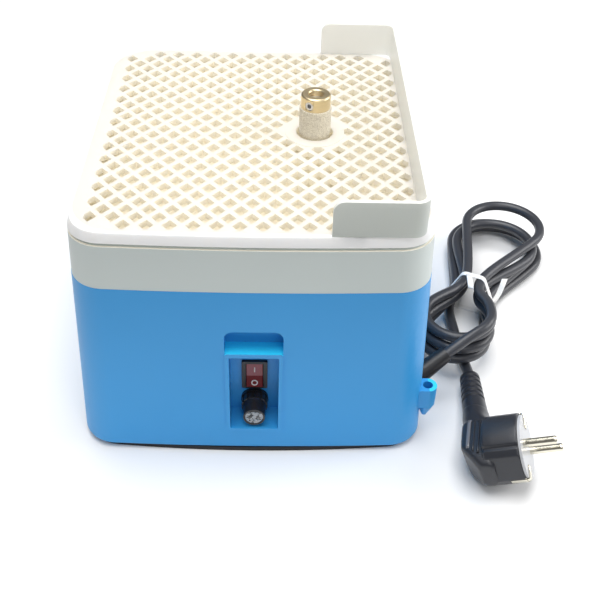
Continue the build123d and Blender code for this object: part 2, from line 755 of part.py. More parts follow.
for name, bottom in (
    ("stator_winding_upper", STATOR_MIDDLE + STATOR_HEIGHT / 2),
    ("stator_winding_lower", STATOR_MIDDLE - STATOR_HEIGHT / 2 - END_TURN),
):
    with BuildPart() as winding:
        with BuildSketch(Plane.XY.offset(bottom)):
            with Locations(SPINDLE):
                Circle(stator_out - END_TURN_INSET)
                Circle(stator_in + END_TURN_INSET, mode=Mode.SUBTRACT)
        extrude(amount=END_TURN)
        chamfer(winding.edges(), END_TURN_ROUND)
    winding.part.label = name
    export_step(winding.part, f"parts/{name}.step")

# Shaft: ground steel, with a flat at the top for the bit's screw.
flat_turn = math.radians(SCREW_ANGLE)
with BuildPart() as shaft:
    with Locations((SPINDLE_X, SPINDLE_Y, SHAFT_BOTTOM)):
        Cylinder(
            SHAFT_DIA / 2,
            SHAFT_TOP - SHAFT_BOTTOM,
            align=(Align.CENTER, Align.CENTER, Align.MIN),
        )
    chamfer(shaft.edges().filter_by(GeomType.CIRCLE), SHAFT_CHAMFER)
    with Locations(Location((SPINDLE_X, SPINDLE_Y, BIT_BOTTOM), (0, 0, SCREW_ANGLE))):
        with Locations((SHAFT_DIA / 2 - SHAFT_FLAT, 0, 0)):
            Box(
                SHAFT_DIA,
                SHAFT_DIA,
                SHAFT_TOP,
                align=(Align.MIN, Align.CENTER, Align.MIN),
                mode=Mode.SUBTRACT,
            )
shaft.part.label = "shaft"
export_step(shaft.part, "parts/shaft.step")

# Rotor: stacked steel core with skew-free bars, pressed on the shaft.
ROTOR_BARS = 16
BAR_WIDTH = 2.0
BAR_DEPTH = 1.5
with BuildPart() as rotor_core:
    with BuildSketch(Plane.XY.offset(STATOR_MIDDLE - STATOR_HEIGHT / 2)):
        with Locations(SPINDLE):
            Circle(ROTOR_DIA / 2)
            Circle(SHAFT_DIA / 2, mode=Mode.SUBTRACT)
            with PolarLocations(ROTOR_DIA / 2, ROTOR_BARS):
                Rectangle(2 * BAR_DEPTH, BAR_WIDTH, mode=Mode.SUBTRACT)
    extrude(amount=STATOR_HEIGHT)
rotor_core.part.label = "rotor_core"
export_step(rotor_core.part, "parts/rotor_core.step")

# Cooling fan: moulded hub with straight blades, at the foot of the shaft.
with BuildPart() as cooling_fan:
    with BuildSketch(Plane.XY.offset(FAN_BOTTOM)):
        with Locations(SPINDLE):
            Circle(SHAFT_DIA / 2 + FAN_HUB_WALL)
            with PolarLocations(FAN_DIA / 4, FAN_BLADES):
                Rectangle(FAN_DIA / 2, FAN_BLADE_THICK)
            Circle(SHAFT_DIA / 2, mode=Mode.SUBTRACT)
    extrude(amount=FAN_HEIGHT)
cooling_fan.part.label = "cooling_fan"
export_step(cooling_fan.part, "parts/cooling_fan.step")

# Slinger: rubber disc on the shaft that throws water off above the tower.
SLINGER_GAP = 1.0
with BuildPart() as slinger:
    with BuildSketch(Plane.XY.offset(TOWER_TOP + SLINGER_GAP)):
        with Locations(SPINDLE):
            Circle(SLINGER_DIA / 2)
            Circle(SHAFT_DIA / 2, mode=Mode.SUBTRACT)
    extrude(amount=SLINGER_THICK)
slinger.part.label = "slinger"
export_step(slinger.part, "parts/slinger.step")

# Run capacitor: aluminium can beside the motor, standing on the base plate.
CAPACITOR_DIA = 30.0
CAPACITOR_HEIGHT = 58.0
CAPACITOR_ROUND = 2.0
CAPACITOR_SPOT = (-52.0, 30.0)
with BuildPart() as run_capacitor:
    with BuildSketch(Plane.XY.offset(PLATE_TOP)):
        with Locations(CAPACITOR_SPOT):
            Circle(CAPACITOR_DIA / 2)
    extrude(amount=CAPACITOR_HEIGHT)
    fillet(run_capacitor.edges().group_by(Axis.Z)[-1], CAPACITOR_ROUND)
run_capacitor.part.label = "run_capacitor"
export_step(run_capacitor.part, "parts/run_capacitor.step")

# Terminal block: where the mains lead ends inside, screwed to the base plate.
BLOCK_SIZE = (14.0, 30.0, 24.0)
BLOCK_FROM_WALL = 31.5
BLOCK_X = BASE_WIDTH / 2 - BLOCK_FROM_WALL
TERMINAL_PITCH = 9.0
TERMINAL_DIA = 4.0
TERMINAL_DEPTH = 6.0
with BuildPart() as terminal_block:
    with Locations((BLOCK_X, GLAND_Y, PLATE_TOP)):
        Box(*BLOCK_SIZE, align=(Align.CENTER, Align.CENTER, Align.MIN))
    with Locations((BLOCK_X, GLAND_Y, PLATE_TOP + BLOCK_SIZE[2])):
        with GridLocations(1, TERMINAL_PITCH, 1, 3):
            Cylinder(
                TERMINAL_DIA / 2,
                TERMINAL_DEPTH,
                align=(Align.CENTER, Align.CENTER, Align.MAX),
                mode=Mode.SUBTRACT,
            )
terminal_block.part.label = "terminal_block"
export_step(terminal_block.part, "parts/terminal_block.step")

screw_way = Vector(math.cos(flat_turn), math.sin(flat_turn), 0)

# Bit core: turned brass, bored for the shaft, with a head over the grit sleeve.
with BuildPart() as bit_core:
    with BuildSketch(Plane.XZ):
        with BuildLine():
            Polyline(
                (SHAFT_DIA / 2 + RUNNING_GAP, BIT_BOTTOM),
                (BIT_STEM_DIA / 2, BIT_BOTTOM),
                (BIT_STEM_DIA / 2, BIT_SHOULDER),
                (BIT_HEAD_DIA / 2, BIT_SHOULDER),
                (BIT_HEAD_DIA / 2, BIT_TOP - BIT_CHAMFER),
                (BIT_HEAD_DIA / 2 - BIT_CHAMFER, BIT_TOP),
                (SHAFT_DIA / 2 + RUNNING_GAP + BIT_CHAMFER, BIT_TOP),
                (SHAFT_DIA / 2 + RUNNING_GAP, BIT_TOP - BIT_CHAMFER),
                close=True,
            )
        make_face()
    revolve(axis=Axis.Z)
    with Locations(Plane(origin=(0, 0, SCREW_Z), z_dir=screw_way)):
        Cylinder(
            SCREW_DIA / 2 + RUNNING_GAP / 2,
            BIT_HEAD_DIA,
            align=(Align.CENTER, Align.CENTER, Align.MIN),
            mode=Mode.SUBTRACT,
        )
bit = bit_core.part.moved(Location((SPINDLE_X, SPINDLE_Y, 0)))
bit.label = "bit_core"
export_step(bit, "parts/bit_core.step")

# Grit sleeve: diamond grit bonded on a thin tube round the core.
with BuildPart() as bit_grit:
    with BuildSketch(Plane.XY.offset(GRIT_BOTTOM)):
        with Locations(SPINDLE):
            Circle(GRIT_DIA / 2)
            Circle(BIT_STEM_DIA / 2, mode=Mode.SUBTRACT)
    extrude(amount=BIT_SHOULDER - GRIT_BOTTOM)
bit_grit.part.label = "bit_grit"
export_step(bit_grit.part, "parts/bit_grit.step")

# Set screw: headless, with a hexagon socket, tightened on the shaft's flat.
SOCKET = 2.5
SOCKET_DEPTH = 2.4
SCREW_SUNK = 0.4
screw_in = SHAFT_DIA / 2 - SHAFT_FLAT + RUNNING_GAP
screw_out = BIT_HEAD_DIA / 2 - SCREW_SUNK
screw_plane = Plane(
    origin=Vector(SPINDLE_X, SPINDLE_Y, SCREW_Z) + screw_way * screw_out, z_dir=screw_way
)
with BuildPart() as set_screw:
    with BuildSketch(screw_plane):
        Circle(SCREW_DIA / 2)
    extrude(amount=-(screw_out - screw_in))
    with BuildSketch(screw_plane):
        RegularPolygon(SOCKET / 2, 6, major_radius=False)
    extrude(amount=-SOCKET_DEPTH, mode=Mode.SUBTRACT)
set_screw.part.label = "set_screw"
export_step(set_screw.part, "parts/set_screw.step")

# Switch body: black snap-in rocker switch, its well round for the rocker to tip in.
with BuildPart() as switch_body:
    with BuildSketch(front(POCKET_BACK)):
        with Locations((NICHE_X, SWITCH_Z)):
            RectangleRounded(SWITCH_WIDTH, SWITCH_HEIGHT, BEZEL_ROUND)
    extrude(amount=BEZEL_THICK)
    with BuildSketch(front(POCKET_BACK)):
        with Locations((NICHE_X, SWITCH_Z)):
            Rectangle(SWITCH_BODY_WIDTH, SWITCH_BODY_HEIGHT)
    extrude(amount=-SWITCH_BODY_DEPTH)
    pivot_y = -POCKET_BACK - BEZEL_THICK + ROCKER_PIVOT_DEPTH
    with Locations(Location((NICHE_X, pivot_y, SWITCH_Z), (0, 90, 0))):
        Cylinder(ROCKER_REACH + FIT, ROCKER_WIDTH + 2 * FIT, mode=Mode.SUBTRACT)
switch_body.part.label = "switch_body"
export_step(switch_body.part, "parts/switch_body.step")

# Rocker: red paddle with two faces, drawn with its upper face pressed in.
ROCKER_STAND = 0.3
face_out = ROCKER_PIVOT_DEPTH + ROCKER_STAND
face_end = ROCKER_REACH + 3
with BuildPart() as switch_rocker:
    with BuildSketch(
        Plane(origin=(NICHE_X, pivot_y, SWITCH_Z), x_dir=(0, 0, 1), z_dir=(1, 0, 0))
    ):
        Circle(ROCKER_REACH)
        with BuildLine():
            Polyline(
                (-face_end, face_out + face_end * math.tan(math.radians(ROCKER_OUT))),
                (0, face_out),
                (face_end, face_out - face_end * math.tan(math.radians(ROCKER_IN))),
                (face_end, -ROCKER_PIVOT_DEPTH),
                (-face_end, -ROCKER_PIVOT_DEPTH),
                close=True,
            )
        make_face(mode=Mode.INTERSECT)
    extrude(amount=ROCKER_WIDTH / 2, both=True)
switch_rocker.part.label = "switch_rocker"
export_step(switch_rocker.part, "parts/switch_rocker.step")

# Fuse holder: black panel holder, a flange in the pocket and a barrel with its nut behind.
FLANGE_THICK = 2.2
BARREL_FLOOR = 2.0
CARRIER_WALL = 0.5
NUT_THICK = 3.0
NUT_DIA = 17.0
carrier_dia = FUSE_DIA + 2 * CARRIER_WALL
with BuildPart() as fuse_holder:
    with BuildSketch(front(POCKET_BACK)):
        with Locations((NICHE_X, FUSE_Z)):
            Circle(FUSE_FLANGE_DIA / 2)
    extrude(amount=FLANGE_THICK)
    with BuildSketch(front(POCKET_BACK)):
        with Locations((NICHE_X, FUSE_Z)):
            Circle(FUSE_BARREL_DIA / 2)
    extrude(amount=-(POCKET_BACK - FUSE_BARREL_BACK))
    with BuildSketch(front(POCKET_BACK - NICHE_WALL)):
        with Locations((NICHE_X, FUSE_Z)):
            RegularPolygon(NUT_DIA / 2, 6)
    extrude(amount=-NUT_THICK)
    with BuildSketch(front(POCKET_BACK + FLANGE_THICK)):
        with Locations((NICHE_X, FUSE_Z)):
            Circle(carrier_dia / 2 + FIT)
    extrude(amount=-(POCKET_BACK + FLANGE_THICK - FUSE_BARREL_BACK - BARREL_FLOOR), mode=Mode.SUBTRACT)
fuse_holder.part.label = "fuse_holder"
export_step(fuse_holder.part, "parts/fuse_holder.step")

# Fuse carrier: stem behind the cap that grips one end of the fuse.
cap_back = POCKET_BACK + FLANGE_THICK + FIT
FUSE_SUNK = 2.0
GRIP = 6.0
fuse_front = POCKET_BACK - FUSE_SUNK
with BuildPart() as fuse_carrier:
    with BuildSketch(front(cap_back)):
        with Locations((NICHE_X, FUSE_Z)):
            Circle(carrier_dia / 2)
    extrude(amount=-(cap_back - fuse_front + GRIP))
    with BuildSketch(front(fuse_front)):
        with Locations((NICHE_X, FUSE_Z)):
            Circle(FUSE_DIA / 2)
    extrude(amount=-GRIP, mode=Mode.SUBTRACT)
fuse_carrier.part.label = "fuse_carrier"
export_step(fuse_carrier.part, "parts/fuse_carrier.step")

with BuildPart() as fuse_link:
    with BuildSketch(front(fuse_front)):
        with Locations((NICHE_X, FUSE_Z)):
            Circle(FUSE_DIA / 2)
    extrude(amount=-FUSE_LENGTH)
fuse_link.part.label = "fuse_link"
export_step(fuse_link.part, "parts/fuse_link.step")

# Fuse cap: black knob, wide and notched where the fingers hold it, then narrower,
# with a bright slotted disc in its end.
LENS_DIA = 10.8
LENS_THICK = 1.2
NOTCHES = 12
NOTCH_DIA = 1.4
LENS_SLOT = 1.4
LENS_SLOT_TURN = 20.0
CAP_TAPER = 3.0
grip_front = cap_back + FUSE_GRIP_LENGTH
with BuildPart() as fuse_cap:
    with BuildSketch(front(cap_back)):
        with Locations((NICHE_X, FUSE_Z)):
            Circle(FUSE_GRIP_DIA / 2)
            with PolarLocations(FUSE_GRIP_DIA / 2, NOTCHES):
                Circle(NOTCH_DIA / 2, mode=Mode.SUBTRACT)
    extrude(amount=FUSE_GRIP_LENGTH)
    with BuildSketch(front(grip_front)):
        with Locations((NICHE_X, FUSE_Z)):
            Circle(FUSE_GRIP_DIA / 2 - NOTCH_DIA / 2)
    with BuildSketch(front(grip_front + CAP_TAPER)):
        with Locations((NICHE_X, FUSE_Z)):
            Circle(FUSE_CAP_DIA / 2)
    loft()
    with BuildSketch(front(grip_front + CAP_TAPER)):
        with Locations((NICHE_X, FUSE_Z)):
            Circle(FUSE_CAP_DIA / 2)
    extrude(amount=FUSE_CAP_LENGTH - FUSE_GRIP_LENGTH - CAP_TAPER)
    with BuildSketch(front(cap_back + FUSE_CAP_LENGTH)):
        with Locations((NICHE_X, FUSE_Z)):
            Circle(LENS_DIA / 2)
    extrude(amount=-LENS_THICK, mode=Mode.SUBTRACT)
fuse_cap.part.label = "fuse_cap"
export_step(fuse_cap.part, "parts/fuse_cap.step")

with BuildPart() as fuse_lens:
    with BuildSketch(front(cap_back + FUSE_CAP_LENGTH - LENS_THICK)):
        with Locations((NICHE_X, FUSE_Z)):
            Circle(LENS_DIA / 2)
    extrude(amount=LENS_THICK)
    with BuildSketch(front(cap_back + FUSE_CAP_LENGTH)):
        with Locations((NICHE_X, FUSE_Z)):
            Rectangle(LENS_DIA, LENS_SLOT, rotation=LENS_SLOT_TURN)
    extrude(amount=-LENS_THICK / 2, mode=Mode.SUBTRACT)
fuse_lens.part.label = "fuse_lens"
export_step(fuse_lens.part, "parts/fuse_lens.step")

# Route of the mains lead. The hank has its own frame: along runs from the lower lobe to
# the upper one, across points to the right of that, and the waist is its middle.
lower = Vector(*LOWER_LOBE, 0)
upper = Vector(*UPPER_LOBE, 0)
along = (upper - lower).normalized()
across = along.rotate(Axis.Z, -90)
up = Vector(0, 0, 1)
waist = lower + (upper - lower) * WAIST_SHARE
to_upper = (upper - lower).length * (1 - WAIST_SHARE)
to_lower = (upper - lower).length * WAIST_SHARE
cord_low = CORD_DIA / 2 + CORD_LIFT


def hank_point(u, n, level):
    """A point of the hank, level counted in layers of cord."""
    return waist + along * u + across * n + up * (cord_low + LAYER * level)


def lower_turn(inset, level):
    """Stations round the lower lobe, from its right side to its left."""
    radius = LOWER_RADIUS - inset
    return [
        (hank_point(-to_lower, radius, level), along * -1),
        (hank_point(-to_lower - radius, 0, level), across * -1),
        (hank_point(-to_lower, -radius, level), along),
    ]


def upper_turn(inset, level):
    """Stations from the left of the waist round the upper lobe to the right of the waist."""
    radius = UPPER_RADIUS - inset
    half = WAIST_HALF - inset
    return [
        (hank_point(0, -half, level), along),
        (hank_point(to_upper, -radius, level), along),
        (hank_point(to_upper + radius, 0, level), across),
        (hank_point(to_upper, radius, level), along * -1),
        (hank_point(0, half, level), along * -1),
    ]


# The lead comes out of the plug's neck, passes under the hank and winds in by one step on
# each layer, climbing along the right-hand run.
UNDER_BACK = 24.0
UNDER_SIDE = 11.0
plug_turn = math.radians(PLUG_TURN)
plug_tilt = math.radians(PLUG_TILT)
side_way = Vector(-math.sin(plug_turn), math.cos(plug_turn), 0)
pin_way = side_way.rotate(Axis.Z, -90) * math.cos(plug_tilt) + up * math.sin(plug_tilt)
plug_up = pin_way.cross(side_way)
plug_face_at = Vector(*PLUG_FACE)
neck_root = plug_face_at - pin_way * NECK_BACK + side_way * (NECK_REACH - 1)
neck_end = Vector(*NECK_END)
neck_way = (neck_end - neck_root).normalized()
under = hank_point(-to_lower - UNDER_BACK, UNDER_SIDE, 0)
first_left = hank_point(0, -WAIST_HALF, 0)
stations = [
    (neck_end, neck_way),
    (neck_end + neck_way * CORD_DIA, neck_way),
    (under, (first_left - under).normalized()),
]
for layer in range(LAYERS):
    inset = layer * SPIRAL_STEP
    if layer > 0:
        stations += lower_turn(inset - SPIRAL_STEP, layer)
    stations += upper_turn(inset, layer)
hank_end = (hank_point(-to_lower, LOWER_RADIUS - inset, LAYERS), along * -1)
stations.append(hank_end)


def biarc(start, start_way, end, end_way):
    """The point and direction where two arcs from start to end meet smoothly."""
    gap = end - start
    both = start_way + end_way
    spread = 2 * (1 - start_way.dot(end_way))
    if spread < 1e-9:
        reach = gap.dot(gap) / (4 * gap.dot(end_way))
    else:
        lead = gap.dot(both)
        reach = (math.sqrt(lead * lead + spread * gap.dot(gap)) - lead) / spread
    middle = (start + end + (start_way - end_way) * reach) * 0.5
    chord = (middle - start).normalized()
    return middle, chord * (2 * chord.dot(start_way)) - start_way


with BuildPart() as cord_hank:
    with BuildLine() as hank_path:
        for (start, start_way), (end, end_way) in zip(stations, stations[1:]):
            if (end - start).normalized().dot(start_way) > 0.999999:
                Line(start, end)
            else:
                middle, middle_way = biarc(start, start_way, end, end_way)
                TangentArc(start, middle, tangent=start_way)
                TangentArc(middle, end, tangent=middle_way)
    with BuildSketch(Plane(origin=stations[0][0], z_dir=stations[0][1])):
        Circle(CORD_DIA / 2)
    sweep()
cord_hank.part.label = "cord_hank"
export_step(cord_hank.part, "parts/cord_hank.step")

# Least gap of the hank to itself, on points a few millimetres apart
hank_wire = hank_path.wire()
GAP_STEP = 2.5
count = int(hank_wire.length / GAP_STEP)
points = [hank_wire.position_at(i / count) for i in range(count + 1)]
skip = int(6 * CORD_DIA / GAP_STEP)
least = min(
    (points[j] - points[i]).length
    for i in range(len(points))
    for j in range(i + skip, len(points))
)
print("hank length", round(hank_wire.length), "least gap", round(least - CORD_DIA, 2))

# Free end of the lead, from the top of the hank down to the boot in the right wall.
LEAD_RUN = 18.0
boot_way = Vector(0.80, 0.47, 0.36).normalized()
gland_face = half_x(GLAND_Z) - SIDE_BOW + GLAND_STAND
boot_root = Vector(gland_face, GLAND_Y, GLAND_Z)
boot_end = boot_root + boot_way * BOOT_LENGTH
lead_points = [
    hank_end[0],
    hank_end[0] - along * LEAD_RUN,
    boot_end + boot_way * LEAD_RUN,
    boot_end,
]
lead_radii = []
for before, corner, after in zip(lead_points, lead_points[1:], lead_points[2:]):
    turn = math.radians((corner - before).get_angle(after - corner))
    run = min((corner - before).length, (after - corner).length)
    lead_radii.append(0.45 * run / math.tan(turn / 2))
print("lead radii", [round(radius, 1) for radius in lead_radii])
with BuildPart() as cord_lead:
    with BuildLine() as lead_path:
        FilletPolyline(*lead_points, radius=lead_radii)
    with BuildSketch(Plane(origin=lead_points[0], z_dir=lead_points[1] - lead_points[0])):
        Circle(CORD_DIA / 2)
    sweep()
cord_lead.part.label = "cord_lead"
export_step(cord_lead.part, "parts/cord_lead.step")

# Gland: black flange and collar in the right wall, with a bent tapered boot.
with BuildPart() as cord_gland:
    with BuildSketch(Plane(origin=boot_root, z_dir=(1, 0, 0))):
        Circle(GLAND_DIA / 2)
    extrude(amount=-GLAND_FLANGE)
    with BuildSketch(Plane(origin=boot_root, z_dir=(1, 0, 0))):
        Circle(BOOT_ROOT_DIA / 2)
    extrude(amount=-GLAND_COLLAR)
    with BuildSketch(Plane(origin=boot_end, z_dir=boot_way)):
        Circle(BOOT_END_DIA / 2)
    with BuildSketch(Plane(origin=boot_root - boot_way * BOOT_LAP, z_dir=boot_way)):
        Circle(BOOT_ROOT_DIA / 2)
    loft()
    add(housing.part, mode=Mode.SUBTRACT)
cord_gland.part.label = "cord_gland"
export_step(cord_gland.part, "parts/cord_gland.step")

# Inner lead: the last stretch of the cord, from the gland to the terminal block.
inner_start = gland_face - GLAND_COLLAR
with BuildPart() as inner_lead:
    with BuildSketch(Plane(origin=(inner_start, GLAND_Y, GLAND_Z), z_dir=(-1, 0, 0))):
        Circle(CORD_DIA / 2)
    extrude(amount=inner_start - BLOCK_X - BLOCK_SIZE[0] / 2)
inner_lead.part.label = "inner_lead"
export_step(inner_lead.part, "parts/inner_lead.step")

# Tie: white plastic strip round the hank's waist, its twisted end standing off.
TIE_SLACK = 0.4
TIE_END = 16.0
TIE_END_TURN = 35.0
TIE_END_HEIGHT = 0.7
hank_half = WAIST_HALF + CORD_DIA / 2 + TIE_SLACK
hank_top = cord_low + LAYER * (LAYERS - 1) + CORD_DIA / 2 + TIE_SLACK
tie_plane = Plane(origin=waist + along * TIE_WIDTH / 2, x_dir=across, z_dir=along * -1)
tie_low = CORD_LIFT - RUNNING_GAP - TIE_THICK
with BuildPart() as hank_tie:
    with BuildSketch(tie_plane):
        with Locations((0, (tie_low + hank_top + TIE_THICK) / 2)):
            RectangleRounded(
                2 * (hank_half + TIE_THICK),
                hank_top + TIE_THICK - tie_low,
                CORD_DIA / 2 + TIE_THICK,
            )
        with Locations((0, (tie_low + TIE_THICK + hank_top) / 2)):
            RectangleRounded(
                2 * hank_half,
                hank_top - tie_low - TIE_THICK,
                CORD_DIA / 2,
                mode=Mode.SUBTRACT,
            )
        with Locations((hank_half + TIE_THICK / 2, hank_top * TIE_END_HEIGHT)):
            Rectangle(
                TIE_END, TIE_THICK, rotation=TIE_END_TURN, align=(Align.MIN, Align.CENTER)
            )
    extrude(amount=TIE_WIDTH)
hank_tie.part.label = "hank_tie"
export_step(hank_tie.part, "parts/hank_tie.step")

# Plug: angled moulded plug that lies on its heel. Its own frame has the pins along X.
roll = math.radians(PIN_ROLL)


def plug_plane(distance):
    """Plane across the plug, this far behind the face, with X to the side and Y up."""
    return Plane(origin=plug_face_at - pin_way * distance, x_dir=side_way, z_dir=pin_way)


CLIP_WIDTH = 7.0
CLIP_DEPTH = 9.0
CLIP_THICK = 1.4
clip_spots = [
    Location((sign * math.sin(roll) * PLUG_DIA / 2, sign * math.cos(roll) * PLUG_DIA / 2),
             90 - PIN_ROLL)
    for sign in (-1, 1)
]
SPINE_HALF = 13.0
SPINE_WIDTH = 15.0
HEEL_SIDE = 7.0
HEEL_INSET = 2.0
SPINE_LAP = 6.0
with BuildPart() as plug_body:
    with BuildSketch(plug_plane(0)):
        Circle(PLUG_DIA / 2)
    extrude(amount=-PLUG_LENGTH)
    # Spine behind the disc, in plan: the slanted heel, the back and the root of the neck
    with BuildSketch(
        Plane(origin=plug_face_at - plug_up * SPINE_HALF, x_dir=pin_way, z_dir=plug_up)
    ):
        with BuildLine():
            Polyline(
                (-PLUG_LENGTH + 1, -PLUG_DIA / 2 + HEEL_INSET),
                (-PLUG_BACK, -HEEL_SIDE),
                (-PLUG_BACK, NECK_REACH),
                (-PLUG_BACK + SPINE_WIDTH, NECK_REACH),
                (-PLUG_LENGTH + SPINE_LAP, 2 * HEEL_SIDE),
                (-PLUG_LENGTH + SPINE_LAP, -PLUG_DIA / 2 + HEEL_INSET),
                close=True,
            )
        make_face()
    extrude(amount=2 * SPINE_HALF)
    with BuildSketch(plug_plane(0)):
        with Locations(*clip_spots):
            Rectangle(2 * CLIP_THICK, CLIP_WIDTH)
    extrude(amount=-CLIP_DEPTH, mode=Mode.SUBTRACT)
plug_body.part.label = "plug_body"
export_step(plug_body.part, "parts/plug_body.step")

with BuildPart() as earth_clips:
    with BuildSketch(plug_plane(0)):
        with Locations(*clip_spots):
            Rectangle(2 * CLIP_THICK - 2 * RUNNING_GAP, CLIP_WIDTH - 2 * RUNNING_GAP)
        Circle(PLUG_DIA / 2, mode=Mode.INTERSECT)
    extrude(amount=-CLIP_DEPTH)
clip_pair = Compound(earth_clips.solids().sort_by(Axis.Z, reverse=True))
clip_pair.label = "earth_clips"
export_step(clip_pair, "parts/earth_clips.step")

with BuildPart() as plug_face:
    with BuildSketch(plug_plane(0)):
        Circle(PLUG_FACE_DIA / 2)
    extrude(amount=PLUG_FACE_THICK)
plug_face.part.label = "plug_face"
export_step(plug_face.part, "parts/plug_face.step")

with BuildPart() as plug_pins:
    with BuildSketch(plug_plane(-PLUG_FACE_THICK)):
        for sign in (-1, 1):
            with Locations(
                (sign * math.cos(roll) * PIN_SPACING / 2, -sign * math.sin(roll) * PIN_SPACING / 2)
            ):
                Circle(PIN_DIA / 2)
    extrude(amount=PIN_LENGTH)
    fillet(plug_pins.edges().group_by(Axis(plug_face_at, pin_way))[-1], PIN_ROUND)
plug_pins.part.label = "plug_pins"
export_step(plug_pins.part, "parts/plug_pins.step")

# Neck: ribbed strain relief that tapers from the plug's spine to the lead.
neck_length = (neck_end - neck_root).length
RIBBED_SHARE = 0.6
rib_pitch = neck_length * RIBBED_SHARE / NECK_RIBS
neck_profile = [(0, 0), (NECK_ROOT_DIA / 2, 0)]


def neck_radius(distance):
    return NECK_ROOT_DIA / 2 + (NECK_END_DIA - NECK_ROOT_DIA) / 2 * distance / neck_length


for rib in range(NECK_RIBS):
    groove = neck_length * (1 - RIBBED_SHARE) + rib * rib_pitch
    for distance, cut in (
        (groove, 0),
        (groove + 0.1 * rib_pitch, NECK_RIB_DEPTH),
        (groove + 0.4 * rib_pitch, NECK_RIB_DEPTH),
        (groove + 0.5 * rib_pitch, 0),
    ):
        neck_profile.append((neck_radius(distance) - cut, distance))
neck_profile += [(NECK_END_DIA / 2, neck_length), (0, neck_length)]
with BuildPart() as plug_neck:
    with BuildSketch(Plane.XZ):
        with BuildLine():
            Polyline(*neck_profile, close=True)
        make_face()
    revolve(axis=Axis.Z)
with BuildPart() as neck:
    add(Plane(origin=neck_root, z_dir=neck_way) * plug_neck.part)
    add(plug_body.part, mode=Mode.SUBTRACT)
neck.part.label = "plug_neck"
export_step(neck.part, "parts/plug_neck.step")
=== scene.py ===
import math

import bmesh
import bpy
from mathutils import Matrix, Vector


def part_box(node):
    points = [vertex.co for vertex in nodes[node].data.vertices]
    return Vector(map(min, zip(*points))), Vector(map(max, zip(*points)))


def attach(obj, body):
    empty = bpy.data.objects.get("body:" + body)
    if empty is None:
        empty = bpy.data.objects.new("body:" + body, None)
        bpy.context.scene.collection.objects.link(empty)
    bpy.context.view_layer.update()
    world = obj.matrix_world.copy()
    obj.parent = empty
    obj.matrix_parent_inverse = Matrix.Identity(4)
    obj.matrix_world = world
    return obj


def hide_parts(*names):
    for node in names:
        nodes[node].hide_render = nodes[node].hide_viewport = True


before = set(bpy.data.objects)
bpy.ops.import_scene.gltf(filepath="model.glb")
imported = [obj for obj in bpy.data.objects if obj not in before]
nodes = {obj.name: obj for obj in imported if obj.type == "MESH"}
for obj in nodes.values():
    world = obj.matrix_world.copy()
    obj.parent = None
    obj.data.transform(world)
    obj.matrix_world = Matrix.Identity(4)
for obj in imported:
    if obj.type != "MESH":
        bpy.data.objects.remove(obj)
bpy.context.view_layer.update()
scene = bpy.context.scene


# Stage: a plain pale table and a white surround, as in a product photograph, with a wide soft
# light overhead and weaker ones in front and at the right. The table throws light back onto
# the walls.
def new_paint(name):
    """A new material with a plain shader, and its node tree."""
    paint = bpy.data.materials.new(name)
    paint.use_nodes = True
    return paint, paint.node_tree


table_left, table_right, table_front, table_back = -0.5, 0.55, -0.33, 0.8
table_corners = [
    (table_left, table_front, 0),
    (table_right, table_front, 0),
    (table_right, table_back, 0),
    (table_left, table_back, 0),
]
floor_mesh = bpy.data.meshes.new("floor")
floor_mesh.from_pydata(table_corners, [], [(0, 1, 2, 3)])
floor = bpy.data.objects.new("floor", floor_mesh)
scene.collection.objects.link(floor)
floor_paint, floor_tree = new_paint("floor_paint")
floor_shader = floor_tree.nodes["Principled BSDF"]
floor_shader.inputs["Base Color"].default_value = (0.93, 0.93, 0.93, 1)
floor_shader.inputs["Roughness"].default_value = 0.9
floor_mesh.materials.append(floor_paint)

surround = bpy.data.worlds.new("studio")
surround.use_nodes = True
scene.world = surround
studio = surround.node_tree
studio.nodes.clear()
rays = studio.nodes.new("ShaderNodeLightPath")
seen = studio.nodes.new("ShaderNodeMath")
seen.operation = "MAXIMUM"
studio.links.new(rays.outputs["Is Camera Ray"], seen.inputs[0])
studio.links.new(rays.outputs["Is Transmission Ray"], seen.inputs[1])
either = studio.nodes.new("ShaderNodeMixShader")
studio.links.new(seen.outputs[0], either.inputs[0])
fill_strength, seen_strength = 0.17, 1.0
for socket, strength in zip(either.inputs[1:], (fill_strength, seen_strength)):
    white = studio.nodes.new("ShaderNodeBackground")
    white.inputs["Color"].default_value = (1, 1, 1, 1)
    white.inputs["Strength"].default_value = strength
    studio.links.new(white.outputs[0], socket)
studio_end = studio.nodes.new("ShaderNodeOutputWorld")
studio.links.new(either.outputs[0], studio_end.inputs["Surface"])

lamp_aim = Vector((0.03, 0.0, 0.08))
for name, place, width, height, watts in (
    ("overhead_softbox", (-0.1, 0.02, 1.8), 1.8, 1.3, 39),
    ("front_softbox", (0.35, -1.3, 1.2), 1.2, 0.8, 5.5),
    ("right_softbox", (1.2, 0.1, 0.6), 0.9, 0.7, 9),
):
    softbox = bpy.data.lights.new(name, "AREA")
    softbox.shape = "RECTANGLE"
    softbox.size = width
    softbox.size_y = height
    softbox.energy = watts
    stand = bpy.data.objects.new(name, softbox)
    stand.location = place
    stand.rotation_euler = (lamp_aim - stand.location).to_track_quat("-Z", "Y").to_euler()
    scene.collection.objects.link(stand)

# Camera: its place, turn and lens were solved on the grid's lattice and the body's outlines
# in the photograph.
camera_data = bpy.data.cameras.new("camera")
camera_data.sensor_width = 36
camera_data.lens = 57.77
camera = bpy.data.objects.new("camera", camera_data)
camera.location = (0.01282, -0.50108, 0.44018)
camera.rotation_euler = [math.radians(turn) for turn in (50.301, -1.509, -0.636)]
scene.collection.objects.link(camera)
scene.camera = camera
scene.view_settings.view_transform = "Standard"


